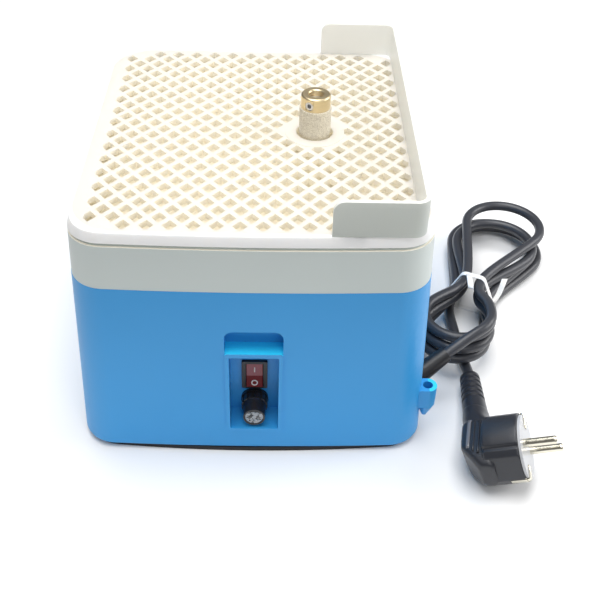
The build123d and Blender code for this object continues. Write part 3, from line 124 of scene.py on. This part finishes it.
# Base: a sheet of black rubber under the whole machine, glued to a coated steel plate that
# closes the shell from below. The rubber shows as a thin dark line under the blue.
def speckle(tree, where, scale, detail):
    """Socket of a noise pattern, laid out on the coordinates of the where socket."""
    pattern = tree.nodes.new("ShaderNodeTexNoise")
    pattern.inputs["Scale"].default_value = scale
    pattern.inputs["Detail"].default_value = detail
    tree.links.new(where, pattern.inputs["Vector"])
    return pattern.outputs["Fac"]


def tinted(tree, pattern, colour, dark, light):
    """Shades the colour by the pattern, from dark times its value to light times."""
    tint = tree.nodes.new("ShaderNodeMix")
    tint.data_type = "RGBA"
    tint.inputs["A"].default_value = (*[dark * part for part in colour], 1)
    tint.inputs["B"].default_value = (*[min(1, light * part) for part in colour], 1)
    tree.links.new(pattern, tint.inputs["Factor"])
    tree.links.new(tint.outputs["Result"], tree.nodes["Principled BSDF"].inputs["Base Color"])


def grained(tree, pattern, smoothest, roughest, relief, depth):
    """Lets the pattern vary the shader's roughness and raise its surface."""
    shader = tree.nodes["Principled BSDF"]
    gloss = tree.nodes.new("ShaderNodeMapRange")
    gloss.inputs["To Min"].default_value = smoothest
    gloss.inputs["To Max"].default_value = roughest
    tree.links.new(pattern, gloss.inputs["Value"])
    tree.links.new(gloss.outputs["Result"], shader.inputs["Roughness"])
    bump = tree.nodes.new("ShaderNodeBump")
    bump.inputs["Strength"].default_value = relief
    bump.inputs["Distance"].default_value = depth
    tree.links.new(pattern, bump.inputs["Height"])
    tree.links.new(bump.outputs["Normal"], shader.inputs["Normal"])


def moulded(name, colour, roughness, grain=900.0, relief=0.05):
    """Moulded plastic, rubber or a coat: its colour drifts a little, and a fine grain breaks
    its gloss and relief."""
    paint, tree = new_paint(name)
    where = tree.nodes.new("ShaderNodeTexCoord").outputs["Object"]
    drift, gloss_spread, grain_depth = 0.04, 0.06, 0.0004
    clouds = speckle(tree, where, scale=14, detail=3)
    tinted(tree, clouds, colour, 1 - drift, 1 + drift)
    grains = speckle(tree, where, scale=grain, detail=2)
    smoothest, roughest = roughness - gloss_spread, roughness + gloss_spread
    grained(tree, grains, smoothest, roughest, relief, grain_depth)
    return paint


def dress(node, paint, edge=0.0, segments=2):
    """Gives a carried-over CAD node its material, and rounds its sharp edges by edge metres."""
    piece = nodes[node]
    piece.data.materials.clear()
    piece.data.materials.append(paint)
    if edge > 0:
        weld = piece.modifiers.new("weld", "WELD")
        weld.merge_threshold = 0.000002
        bevel = piece.modifiers.new("edge", "BEVEL")
        bevel.width = edge
        bevel.segments = segments
        bevel.limit_method = "ANGLE"
        bevel.angle_limit = math.radians(35)
        bevel.use_clamp_overlap = True
        weighted = piece.modifiers.new("normals", "WEIGHTED_NORMAL")
        weighted.keep_sharp = False
        for face in piece.data.polygons:
            face.use_smooth = True


rubber = moulded("black_rubber", (0.018, 0.018, 0.02), 0.75, grain=500, relief=0.2)
dress("base_mat", rubber, edge=0.0004)
powder_coat = moulded("powder_coat", (0.03, 0.03, 0.033), 0.55, grain=1500, relief=0.15)
dress("base_plate", powder_coat)


# Housing: outer shell with its niche and lug, moulded in blue plastic, satin with a fine grain.
# Screws through the base plate hold it at four pillars, and its deck carries motor and tray.
def worked_out(tree, operation, *values):
    """Socket of a new math node. Each value is a number or another node's socket."""
    step = tree.nodes.new("ShaderNodeMath")
    step.operation = operation
    for socket, value in zip(step.inputs, values):
        if isinstance(value, (int, float)):
            socket.default_value = value
        else:
            tree.links.new(value, socket)
    return step.outputs["Value"]


def split(tree, vector):
    """The X, Y and Z sockets of a vector socket."""
    parts = tree.nodes.new("ShaderNodeSeparateXYZ")
    tree.links.new(vector, parts.inputs["Vector"])
    return parts.outputs["X"], parts.outputs["Y"], parts.outputs["Z"]


def overlay(paint, share, colour):
    """Lays a second colour over the paint's own where the share socket is 1."""
    tree = paint.node_tree
    base = tree.nodes["Principled BSDF"].inputs["Base Color"]
    layer = tree.nodes.new("ShaderNodeMix")
    layer.data_type = "RGBA"
    layer.inputs["B"].default_value = (*colour, 1)
    tree.links.new(base.links[0].from_socket, layer.inputs["A"])
    tree.links.new(share, layer.inputs["Factor"])
    tree.links.new(layer.outputs["Result"], base)


shell_blue = moulded("blue_shell", (0.033, 0.335, 0.745), 0.42, grain=1400)
shell_tree = shell_blue.node_tree
shell_surface = shell_tree.nodes.new("ShaderNodeNewGeometry")
shell_x, _, shell_z = split(shell_tree, shell_surface.outputs["Position"])
_, _, shell_up = split(shell_tree, shell_surface.outputs["Normal"])
# The niche's ledge and the top of the lug are painted a lighter blue where they face up: painted
# light, standing in for the light that falls on them from above.
ledge_height, ledge_reach, lug_from, least_up = 0.062, 0.018, 0.1045, 0.25
faces_up = worked_out(shell_tree, "GREATER_THAN", shell_up, least_up)
on_ledge = worked_out(shell_tree, "COMPARE", shell_z, ledge_height, ledge_reach)
on_lug = worked_out(shell_tree, "GREATER_THAN", shell_x, lug_from)
on_either = worked_out(shell_tree, "MAXIMUM", on_ledge, on_lug)
painted_light_up = worked_out(shell_tree, "MULTIPLY", faces_up, on_either)
overlay(shell_blue, painted_light_up, (0.03, 0.68, 1.0))
dress("housing", shell_blue, edge=0.0006)


# Motor: drawn steel can between two die-cast bells, hung under the deck, with copper windings
# on its stator. The ground steel shaft runs in two ball bearings and carries the rotor's
# stacked core and a moulded fan.
def metal(name, colour, roughness, streak=(1.0, 1.0, 1.0), relief=0.05):
    """Bare metal, with machining marks as a noise that streak stretches."""
    paint, tree = new_paint(name)
    tree.nodes["Principled BSDF"].inputs["Metallic"].default_value = 1.0
    where = tree.nodes.new("ShaderNodeTexCoord").outputs["Object"]
    stretch = tree.nodes.new("ShaderNodeMapping")
    stretch.inputs["Scale"].default_value = streak
    tree.links.new(where, stretch.inputs["Vector"])
    dark, light, gloss_spread, mirror_like, mark_depth = 0.86, 1.08, 0.1, 0.04, 0.0003
    marks = speckle(tree, stretch.outputs["Vector"], scale=300, detail=4)
    tinted(tree, marks, colour, dark, light)
    smoothest, roughest = max(mirror_like, roughness - gloss_spread), roughness + gloss_spread
    grained(tree, marks, smoothest, roughest, relief, mark_depth)
    return paint


steel = metal("machined_steel", (0.68, 0.68, 0.7), 0.3, streak=(1, 1, 6))
for name in ("motor_can", "motor_stator", "rotor_core", "bearing_upper", "bearing_lower", "shaft"):
    dress(name, steel)
alloy = metal("cast_alloy", (0.62, 0.63, 0.65), 0.45, relief=0.3)
for name in ("motor_bell_upper", "motor_bell_lower"):
    dress(name, alloy)
copper = metal("enamelled_copper", (0.62, 0.27, 0.13), 0.35, streak=(6, 6, 1), relief=0.4)
for name in ("stator_winding_upper", "stator_winding_lower"):
    dress(name, copper)
black = moulded("black_plastic", (0.016, 0.016, 0.018), 0.36, grain=1100)
dress("cooling_fan", black)

# Screws: eight countersunk screws of zinc-plated steel. Four go from below through the plate
# into the shell's pillars, and four hang the motor's upper bell from the deck.
zinc = metal("zinc_plate", (0.72, 0.72, 0.7), 0.3)
for number in range(1, 5):
    dress(f"base_screw_{number}", zinc)
    dress(f"motor_screw_{number}", zinc)

# Electrics inside: the motor's run capacitor, an alloy can that stands on the base plate, and
# the black moulded terminal block, screwed to the plate, where the lead ends.
dress("run_capacitor", alloy)
dress("terminal_block", black)

# Seals: a flat gasket of black rubber in the deck's groove under the tray, and two pieces of
# pale silicone, a ring in the mouth of the tray's tower and a disc on the shaft that throws
# water off.
dress("tray_gasket", rubber)
silicone = moulded("pale_silicone", (0.86, 0.82, 0.72), 0.5, grain=600)
for name in ("shaft_seal", "slinger"):
    dress(name, silicone)


# Tray: water reservoir moulded in white plastic, which stands on the deck round the spindle's
# tower. Its outside is a cool grey white, and the side that faces the middle or up is painted a
# bright cream: painted light, standing in for light bounced round the pits under the grid.
def inward(paint):
    """Socket that is 1 where the surface faces the middle of the machine or up."""
    tree = paint.node_tree
    surface = tree.nodes.new("ShaderNodeNewGeometry")
    place_x, place_y, _ = split(tree, surface.outputs["Position"])
    facing_x, facing_y, _ = split(tree, surface.outputs["Normal"])
    outward_y = worked_out(tree, "MULTIPLY", place_y, facing_y)
    outward = worked_out(tree, "MULTIPLY_ADD", place_x, facing_x, outward_y)
    outer_wall = 0.06
    return worked_out(tree, "LESS_THAN", outward, outer_wall)


tray_plastic = moulded("tray_plastic", (0.62, 0.68, 0.66), 0.42)
# Painted light: the faces toward the middle or up are painted bright cream, so the pits under the
# grid look lit.
overlay(tray_plastic, inward(tray_plastic), (0.98, 0.93, 0.80))
dress("tray", tray_plastic, edge=0.0005)


# Grid: lattice in its rim, moulded in white plastic, which drops into the tray. Light spreads
# inside the thick plastic and comes through the thin ribs, so the pits stay bright.
def translucent(paint, colour):
    """Lets light of this colour through the paint. The socket that it gives sets the share."""
    tree = paint.node_tree
    glow = tree.nodes.new("ShaderNodeBsdfTranslucent")
    glow.inputs["Color"].default_value = (*colour, 1)
    blend = tree.nodes.new("ShaderNodeMixShader")
    tree.links.new(tree.nodes["Principled BSDF"].outputs["BSDF"], blend.inputs[1])
    tree.links.new(glow.outputs["BSDF"], blend.inputs[2])
    tree.links.new(blend.outputs["Shader"], tree.nodes["Material Output"].inputs["Surface"])
    return blend.inputs[0]


grid_plastic = moulded("grid_plastic", (0.95, 0.94, 0.91), 0.38)
grid_tree = grid_plastic.node_tree
grid_shader = grid_tree.nodes["Principled BSDF"]
grid_shader.inputs["Subsurface Weight"].default_value = 0.5
grid_shader.inputs["Subsurface Scale"].default_value = 0.005
grid_shader.inputs["Subsurface Radius"].default_value = (1.0, 0.95, 0.88)
# The rim is a band along the outline, a rectangle with round corners. It is painted whiter than
# the ribs, a painted highlight for the light on its front face, and lets no light through.
rim_corner, rim_wide, ribs_share = 0.03, 0.004, 0.32
grid_surface = grid_tree.nodes.new("ShaderNodeNewGeometry")
grid_x, grid_y, _ = split(grid_tree, grid_surface.outputs["Position"])
grid_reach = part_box("grid")[1]
squares = []
for place, reach in ((grid_x, grid_reach.x), (grid_y, grid_reach.y)):
    off_middle = worked_out(grid_tree, "ABSOLUTE", place)
    past_corner = worked_out(grid_tree, "SUBTRACT", off_middle, reach - rim_corner)
    past_corner = worked_out(grid_tree, "MAXIMUM", past_corner, 0.0)
    squares.append(worked_out(grid_tree, "POWER", past_corner, 2.0))
past = worked_out(grid_tree, "ADD", *squares)
on_rim = worked_out(grid_tree, "GREATER_THAN", past, (rim_corner - rim_wide) ** 2)
overlay(grid_plastic, on_rim, (0.98, 0.98, 0.975))
grid_share = worked_out(grid_tree, "MULTIPLY_ADD", on_rim, -ribs_share, ribs_share)
grid_tree.links.new(grid_share, translucent(grid_plastic, (0.96, 0.88, 0.68)))
dress("grid", grid_plastic, edge=0.0006)

# Splash guard: one thin wall in a U, moulded in white plastic and held by tabs in the grid's
# slots. Its outside is painted grey, painted shade, and the side that the wet glass splashes is
# painted near white, painted light.
guard_plastic = moulded("guard_plastic", (0.53, 0.57, 0.555), 0.36)
guard_share = translucent(guard_plastic, (0.92, 0.92, 0.88))
guard_share.default_value = 0.3
# Painted light: faces toward the middle or up are painted near white over the grey outer side.
overlay(guard_plastic, inward(guard_plastic), (0.98, 0.975, 0.95))
dress("splash_guard", guard_plastic, edge=0.0007, segments=3)

# Grinding bit: turned brass core with a sleeve of bonded diamond grit, clamped on the flat of
# the shaft by a headless steel screw with a hexagon socket.
brass = metal("turned_brass", (0.82, 0.68, 0.43), 0.38, streak=(0.3, 0.3, 9.0), relief=0.12)
dress("bit_core", brass, edge=0.0003)
grit, grit_tree = new_paint("bonded_grit")
grit_shader = grit_tree.nodes["Principled BSDF"]
grit_shader.inputs["Metallic"].default_value = 0.2
grit_grains = grit_tree.nodes.new("ShaderNodeTexVoronoi")
grit_grains.inputs["Scale"].default_value = 2600
grit_where = grit_tree.nodes.new("ShaderNodeTexCoord").outputs["Object"]
grit_tree.links.new(grit_where, grit_grains.inputs["Vector"])
grit_shade = grit_tree.nodes.new("ShaderNodeValToRGB")
grit_shade.color_ramp.elements[0].color = (0.56, 0.50, 0.39, 1)
grit_shade.color_ramp.elements[1].color = (0.98, 0.93, 0.80, 1)
grit_tree.links.new(grit_grains.outputs["Color"], grit_shade.inputs["Fac"])
grit_tree.links.new(grit_shade.outputs["Color"], grit_shader.inputs["Base Color"])
grained(
    grit_tree,
    grit_grains.outputs["Distance"],
    smoothest=0.3,
    roughest=0.7,
    relief=0.6,
    depth=0.0003,
)
dress("bit_grit", grit, edge=0.0003)
dress("set_screw", steel, edge=0.0002)


# Switch: black snap-in body with a red moulded rocker, drawn with its upper half pressed in.
# Its marks for on and off are a bar and a ring of white paint, printed on the two faces.
def add_piece(name, corners, faces, paint, body, smooth=True):
    """A new piece from its corners and faces, with its material and the body it rides on."""
    shape = bmesh.new()
    points = [shape.verts.new(corner) for corner in corners]
    for face in faces:
        shape.faces.new([points[number] for number in face])
    bmesh.ops.recalc_face_normals(shape, faces=shape.faces)
    mesh = bpy.data.meshes.new(name)
    shape.to_mesh(mesh)
    shape.free()
    for face in mesh.polygons:
        face.use_smooth = smooth
    mesh.materials.append(paint)
    piece = bpy.data.objects.new(name, mesh)
    scene.collection.objects.link(piece)
    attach(piece, body)
    return piece


def ring_faces(rings, steps, closed=False):
    """Faces between rings of corners that follow each other, each ring of so many steps. Where
    it is closed, the first ring and the last are faces too."""
    last = steps * (rings - 1)
    faces = []
    for low in range(0, last, steps):
        for step in range(steps):
            after = (step + 1) % steps
            faces.append((low + step, low + steps + step, low + steps + after, low + after))
    if closed:
        faces += [tuple(range(steps)), tuple(range(last, last + steps))]
    return faces


def strap(centres, sides, wide, thick):
    """Corners and faces of a flat strip along centres, wide along sides, thick across both."""
    half_outline = [(-0.5, -0.3), (-0.5, 0.3), (-0.42, 0.5), (0.42, 0.5)]
    outline = half_outline + [(-in_width, -in_depth) for in_width, in_depth in half_outline]
    corners = []
    for spot, (point, side) in enumerate(zip(centres, sides)):
        ahead = centres[min(spot + 1, len(centres) - 1)] - centres[max(spot - 1, 0)]
        out = ahead.cross(side).normalized()
        for in_width, in_depth in outline:
            corners.append(point + wide * in_width * side + thick * in_depth * out)
    return corners, ring_faces(len(centres), len(outline), closed=True)


dress("switch_body", black, edge=0.0004)
rocker_pivot = Vector((0.0012, -0.0955, 0.0482))
red = moulded("red_plastic", (0.15, 0.006, 0.01), 0.3, relief=0.02)
red_tree = red.node_tree
red_tree.nodes["Principled BSDF"].inputs["Specular IOR Level"].default_value = 0.15
red_where = red_tree.nodes.new("ShaderNodeTexCoord").outputs["Object"]
_, _, rocker_z = split(red_tree, red_where)
# The upper half of the rocker is painted a greyish pink: a painted reflection of the overhead
# light on its face, which tilts up.
upper_face_reflection = worked_out(red_tree, "GREATER_THAN", rocker_z, rocker_pivot.z)
overlay(red, upper_face_reflection, (0.33, 0.12, 0.125))
dress("switch_rocker", red, edge=0.0004)

mark_paint = moulded("mark_paint", (0.74, 0.70, 0.66), 0.5, relief=0.02)
mark_wide, mark_thick = 0.0007, 0.0002
face_front = 0.00283
marks_at = rocker_pivot + Vector((0, -face_front, 0))
bar_foot, bar_top = 0.0026, 0.0062
ring_middle, ring_radius, ring_steps = -0.0048, 0.0016, 32
ring_turns = [2 * math.pi * step / ring_steps for step in range(ring_steps + 1)]
ring_sides = [(math.cos(turn), math.sin(turn)) for turn in ring_turns]
ring_line = [(ring_radius * side, ring_middle + ring_radius * rise) for side, rise in ring_sides]
for name, lean, line, sides in (
    ("on_mark", math.radians(6), [(0, bar_foot), (0, bar_top)], [(1, 0), (1, 0)]),
    ("off_mark", math.radians(12), ring_line, ring_sides),
):
    face_right = Vector((1, 0, 0))
    face_up = Vector((0, math.sin(lean), math.cos(lean)))
    corners, faces = strap(
        [marks_at + face_right * side + face_up * rise for side, rise in line],
        [face_right * side + face_up * rise for side, rise in sides],
        mark_wide,
        mark_thick,
    )
    mark = add_piece(name, corners, faces, mark_paint, "rocker")

# Fuse: black moulded panel holder with its nut, a carrier that draws out with the glass fuse,
# and a knob whose end is a disc of bright plastic, cut in facets.
for name in ("fuse_holder", "fuse_cap"):
    dress(name, black, edge=0.0004)
dress("fuse_carrier", black)
dress("fuse_link", metal("fuse_glass", (0.8, 0.82, 0.82), 0.1))
lens_at = Vector((0.0012, -0.1127, 0.0283))
lens_steps, lens_lift = 16, 0.3
# Rings of the disc: radius, depth in the knob, and how much deeper every second corner is
# cut. The corners between stand out by the lift's share of that.
lens_rings = [
    (0.0054, 0.0011, 0.0),
    (0.0054, 0.0002, 0.0),
    (0.0047, -0.0002, 0.0),
    (0.0032, 0.0, 0.0004),
    (0.0014, -0.0002, 0.0003),
]
lens_corners = []
for ring, (radius, back, cut) in enumerate(lens_rings):
    for step in range(lens_steps):
        turn = 2 * math.pi * (step + 0.5 * (ring % 2)) / lens_steps
        depth = back + (cut if step % 2 else -lens_lift * cut)
        spoke = Vector((radius * math.cos(turn), depth, radius * math.sin(turn)))
        lens_corners.append(lens_at + spoke)
lens_faces = []
lens_last = lens_steps * (len(lens_rings) - 1)
for ring, low in enumerate(range(0, lens_last, lens_steps)):
    top = low + lens_steps
    for step in range(lens_steps):
        after = (step + 1) % lens_steps
        if ring % 2 == 0:
            lens_faces.append((low + step, low + after, top + step))
            lens_faces.append((low + after, top + after, top + step))
        else:
            lens_faces.append((low + step, low + after, top + after))
            lens_faces.append((low + step, top + after, top + step))
lens_faces.append(tuple(range(lens_last, lens_last + lens_steps)))
lens_paint = metal("bright_lens", (0.30, 0.31, 0.32), 0.2)
lens = add_piece("fuse_end", lens_corners, lens_faces, lens_paint, "fuse_cap", smooth=False)
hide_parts("fuse_lens")

# Plug: angled plug moulded in black on the cord's neck, which stands on its heel. A grey face
# carries two round pins, and sprung earth clips fold over its edge on both sides.
plug_at = Vector((0.1563, -0.1324, 0.0269))
pin_way = Vector((0.9021, -0.1868, 0.3891))
side_way = Vector((0.2028, 0.9792, 0.0))
plug_up = pin_way.cross(side_way)


def plug_place(ahead, side, up):
    """A point of the plug, in millimetres ahead of its face, to the cord's side and up."""
    return plug_at + 0.001 * (ahead * pin_way + side * side_way + up * plug_up)


def near(angle, middles, reach):
    """Whether an angle is within reach degrees of one of the middles."""
    return any(abs((angle - middle + 180) % 360 - 180) < reach for middle in middles)


plug_black = moulded("plug_black", (0.024, 0.026, 0.033), 0.36, grain=800)
# Rings of the cup behind the face: place ahead of the face and radius, in millimetres
cup = [
    (-1.0, 17.2),
    (-0.2, 18.2),
    (-0.2, 19.1),
    (-0.7, 19.6),
    (-1.3, 19.8),
    (-5.0, 19.8),
    (-9.0, 19.8),
    (-9.2, 19.8),
    (-14.0, 19.8),
    (-19.0, 19.7),
    (-20.3, 19.2),
    (-20.8, 18.2),
    (-20.8, 4.0),
]
# The rings wider than the wall's least radius have two flat panels, two grip grooves behind
# the front edge and a notch in front for each earth clip. Each stands at an angle round the
# cup and reaches so many degrees to both sides.
wall_least = 17.5
panel_angles, panel_reach, panel_radius = (172, 352), 40, 17.9
groove_angles, groove_reach, groove_front, groove_depth = (130, 310), 3.5, -0.5, 0.9
clip_angles, notch_reach, notch_back, notch_radius = (30, 210), 10.5, -9.1, 18.2
cup_angles = range(0, 360, 2)
cup_corners = []
for ahead, radius in cup:
    for angle in cup_angles:
        reach = radius
        if radius > wall_least:
            for middle in panel_angles:
                if near(angle, (middle,), panel_reach):
                    reach = min(reach, panel_radius / math.cos(math.radians(angle - middle)))
            if near(angle, groove_angles, groove_reach) and ahead < groove_front:
                reach -= groove_depth
            if near(angle, clip_angles, notch_reach) and ahead > notch_back:
                reach = min(reach, notch_radius)
        turn = math.radians(angle)
        cup_corners.append(plug_place(ahead, reach * math.cos(turn), reach * math.sin(turn)))
cup_faces = ring_faces(len(cup), len(cup_angles))
plug_cup = add_piece("plug_cup", cup_corners, cup_faces, plug_black, "base")
cup_normals = plug_cup.modifiers.new("normals", "WEIGHTED_NORMAL")
cup_normals.keep_sharp = False
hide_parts("plug_body")

# Sections of the spine from its heel to the neck: place to the side, back, front, half height
# and radius of the corners
spine = [
    (-19.6, -23.5, -16.0, 7.5, 3.5),
    (-18.6, -24.5, -15.0, 9.5, 4.0),
    (-13.0, -29.0, -14.2, 12.0, 4.0),
    (-7.0, -33.4, -14.0, 12.9, 4.0),
    (-5.6, -34.3, -14.0, 13.0, 4.0),
    (0.0, -34.6, -14.0, 13.0, 4.0),
    (9.0, -34.8, -14.4, 12.8, 4.0),
    (13.4, -34.9, -15.6, 12.4, 4.2),
    (14.2, -34.6, -16.0, 11.7, 4.6),
    (19.0, -36.0, -18.4, 10.2, 6.0),
    (24.0, -37.4, -20.2, 9.0, 7.8),
    (28.0, -38.0, -21.2, 8.5, 8.3),
    (33.0, -38.4, -22.6, 8.1, 7.9),
    (33.6, -38.2, -22.8, 7.8, 7.6),
]
neck_from, neck_slope = 24, 0.096
quarters = ((1, 1), (-1, 1), (-1, -1), (1, -1))
quarter_steps = 8
spine_corners = []
for side, back, front, half_height, corner in spine:
    middle, half_depth = (back + front) / 2, (front - back) / 2
    drop = neck_slope * max(0.0, side - neck_from)
    bow = min(corner, half_depth)
    for quarter, (ahead_sign, up_sign) in enumerate(quarters):
        for step in range(quarter_steps):
            turn = math.radians(90 * (quarter + step / (quarter_steps - 1)))
            ahead = middle + ahead_sign * (half_depth - bow) + bow * math.cos(turn)
            up = up_sign * (half_height - corner) + corner * math.sin(turn) - drop
            spine_corners.append(plug_place(ahead, side, up))
spine_faces = ring_faces(len(spine), len(quarters) * quarter_steps, closed=True)
plug_spine = add_piece("plug_spine", spine_corners, spine_faces, plug_black, "base")
spine_rounding = plug_spine.modifiers.new("round", "SUBSURF")
spine_rounding.levels = 1
spine_rounding.render_levels = 2

# Grip ridges on top of the spine. The one at the back is painted a lighter grey, a painted
# highlight along the spine's top edge.
highlight_black = moulded("plug_painted_highlight", (0.15, 0.155, 0.175), 0.3, grain=800)
ridge_top, ridge_sink, ridge_thick, ridge_steps = 12.9, 0.5, 0.0010, 8
plug_ridges = []
for name, ahead, first, last, wide, paint in (
    ("plug_ridge_back", -29.4, -8.0, 14.0, 0.0020, highlight_black),
    ("plug_ridge_middle", -26.4, -10.5, 12.5, 0.0012, plug_black),
    ("plug_ridge_front", -23.4, -12.0, 12.5, 0.0012, plug_black),
):
    line = []
    for step in range(ridge_steps + 1):
        side = first + (last - first) * step / ridge_steps
        up = ridge_top - (ridge_sink if step in (0, ridge_steps) else 0)
        line.append(plug_place(ahead, side, up))
    corners, faces = strap(line, [pin_way] * len(line), wide, ridge_thick)
    ridge = add_piece(name, corners, faces, paint, "base")
    plug_ridges.append(ridge)

# Folds of the earth clips over the face: points ahead of it and off its middle
nickel = metal("nickel", (0.80, 0.76, 0.64), 0.2)
fold_points = ((1.6, 11.0), (1.9, 12.0), (1.9, 18.2), (0.2, 19.4))
fold_wide, fold_thick = 0.0055, 0.0008
plug_folds = []
for name, angle in zip(("earth_fold_upper", "earth_fold_lower"), clip_angles):
    cosine, sine = math.cos(math.radians(angle)), math.sin(math.radians(angle))
    line = [plug_place(ahead, off * cosine, off * sine) for ahead, off in fold_points]
    round_way = plug_up * cosine - side_way * sine
    corners, faces = strap(line, [round_way] * len(line), fold_wide, fold_thick)
    fold = add_piece(name, corners, faces, nickel, "base")
    plug_folds.append(fold)
dress("plug_neck", plug_black, edge=0.0004)
dress("plug_face", moulded("plug_grey", (0.50, 0.51, 0.53), 0.3), edge=0.0006)
dress("plug_pins", nickel)
dress("earth_clips", nickel, edge=0.0003)
on_plug = [nodes[name] for name in ("plug_neck", "plug_face", "plug_pins", "earth_clips")]
on_plug += [plug_cup, plug_spine, *plug_ridges, *plug_folds]

# Mains lead: round black sheath, 7 mm, wound into a hank of a narrow waist and two lobes whose
# turns differ and fan out. It leaves the boot in the right wall over the top of the hank, and
# its other end comes from the plug under the lower lobe.
hank_lower = Vector((0.1345, -0.0130))
hank_upper = Vector((0.1745, 0.0780))
along = (hank_upper - hank_lower).normalized()
across = Vector((along.y, -along.x))
waist_share = 0.34
waist_at = hank_lower + waist_share * (hank_upper - hank_lower)


def hank_place(up, right, height):
    """A point of the hank, up from its waist to the upper lobe, to the right, over the table."""
    flat = waist_at + along * up + across * right
    return (flat.x, flat.y, height)


def lobe_points(radius, up, right, height, way):
    """Points of a lobe's turn round its middle, the upper lobe for way 1, the lower for -1."""
    apart, farthest = 30, 120
    reach = way * radius / math.cos(math.radians(apart / 2))
    turns = [math.radians(angle) for angle in range(-farthest, farthest + 1, apart)]
    return [
        hank_place(up + reach * math.cos(turn), right + reach * math.sin(turn), height)
        for turn in turns
    ]


# Turns of the lobes: radius, middle up and right of the waist, and height over the table
upper_lobes = [
    (0.0318, 0.0735, 0.0010, 0.0046),
    (0.0298, 0.0690, -0.0010, 0.0118),
    (0.0276, 0.0610, 0.0020, 0.0191),
    (0.0270, 0.0770, 0.0035, 0.0264),
]
lower_lobes = [
    (0.0216, -0.0435, 0.0010, 0.0129),
    (0.0216, -0.0415, 0.0022, 0.0202),
    (0.0216, -0.0390, 0.0014, 0.0275),
]
# The two strands of each turn at the waist: how far off its middle, and height
waists = [(0.0118, 0.0046), (0.0114, 0.0118), (0.0056, 0.0184), (0.0050, 0.0257)]
waist_foot, waist_top, foot_spread = -0.006, 0.012, 1.1
cord_points = [
    (0.1384, -0.0580, 0.0084),
    (0.1391, -0.0500, 0.0060),
    hank_place(-0.050, 0.0095, 0.0046),
    hank_place(-0.030, -0.0005, 0.0046),
]
for turn_number, (off, height) in enumerate(waists):
    if turn_number > 0:
        cord_points += lobe_points(*lower_lobes[turn_number - 1], -1)
    cord_points.append(hank_place(waist_foot, -foot_spread * off, height))
    cord_points.append(hank_place(waist_top, -off, height))
    cord_points += lobe_points(*upper_lobes[turn_number], 1)
    cord_points.append(hank_place(waist_top, off, height))
    cord_points.append(hank_place(waist_foot, foot_spread * off, height))
boot_root = Vector((0.1043365, -0.0670, 0.0220))
boot_way = Vector((0.80, 0.47, 0.36)).normalized()
boot_long, straight_out = 0.020, 0.018
boot_end = boot_root + boot_long * boot_way
cord_points += [
    hank_place(-0.029, 0.0200, 0.0362),
    hank_place(-0.050, 0.0258, 0.0385),
    tuple(boot_end + straight_out * boot_way),
    tuple(boot_end),
]
cord_points.reverse()
cord_curve = bpy.data.curves.new("mains_lead", "CURVE")
cord_curve.dimensions = "3D"
cord_curve.resolution_u = 10
cord_curve.bevel_depth = 0.0035
cord_curve.bevel_resolution = 6
cord_curve.use_fill_caps = True
cord_line = cord_curve.splines.new("NURBS")
cord_line.points.add(len(cord_points) - 1)
for point, place in zip(cord_line.points, cord_points):
    point.co = (*place, 1)
cord_line.order_u = 3
cord_line.use_endpoint_u = True
cord = bpy.data.objects.new("mains_lead", cord_curve)
scene.collection.objects.link(cord)
sheath = moulded("cord_sheath", (0.042, 0.044, 0.052), 0.34, grain=700, relief=0.06)
cord_curve.materials.append(sheath)
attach(cord, "base")
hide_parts("cord_hank", "cord_lead")
dress("cord_gland", black, edge=0.0005)
dress("inner_lead", sheath)

# Tie: strip of white plastic wound once round the waist of the hank and twisted shut, with
# one short end on top and one long end that stands up at the right.
tie_up, tie_pitch, tie_off = 0.004, 0.0012, 0.0041
tie_start, tie_steps = math.radians(250), 64
strands = [(right, height) for off, height in waists for right in (-off, off)]
tie_loop = []
for step in range(tie_steps + 1):
    turn = tie_start + 2 * math.pi * step / tie_steps
    right_way, high_way = math.cos(turn), math.sin(turn)
    outer = max(strands, key=lambda strand: strand[0] * right_way + strand[1] * high_way)
    up = tie_up + tie_pitch * step / tie_steps
    right, height = outer[0] + tie_off * right_way, outer[1] + tie_off * high_way
    tie_loop.append((up, right, height))
long_end = [
    (0.004, 0.0161, 0.0105),
    (0.006, 0.0175, 0.0130),
    (0.009, 0.0187, 0.0165),
    (0.013, 0.0195, 0.0210),
    (0.016, 0.0199, 0.0255),
]
short_end = [
    (0.003, -0.0030, 0.0308),
    (-0.001, -0.0015, 0.0312),
    (-0.006, 0.0004, 0.0309),
    (-0.010, 0.0020, 0.0301),
]
long_end_side = Vector((0.55, -0.25, 0.2)).normalized()
tie_wide, tie_thick = 0.004, 0.0008
tie_corners = []
tie_faces = []
for line, side in (
    (tie_loop, Vector((along.x, along.y, 0))),
    (long_end, long_end_side),
    (short_end, Vector((across.x, across.y, 0))),
):
    centres = [Vector(hank_place(*spot)) for spot in line]
    corners, faces = strap(centres, [side] * len(line), tie_wide, tie_thick)
    first = len(tie_corners)
    tie_corners += corners
    tie_faces += [tuple(first + number for number in face) for face in faces]
tie_paint = moulded("white_tie", (0.88, 0.88, 0.87), 0.32, relief=0.03)
tie = add_piece("hank_strip", tie_corners, tie_faces, tie_paint, "base")
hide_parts("hank_tie")
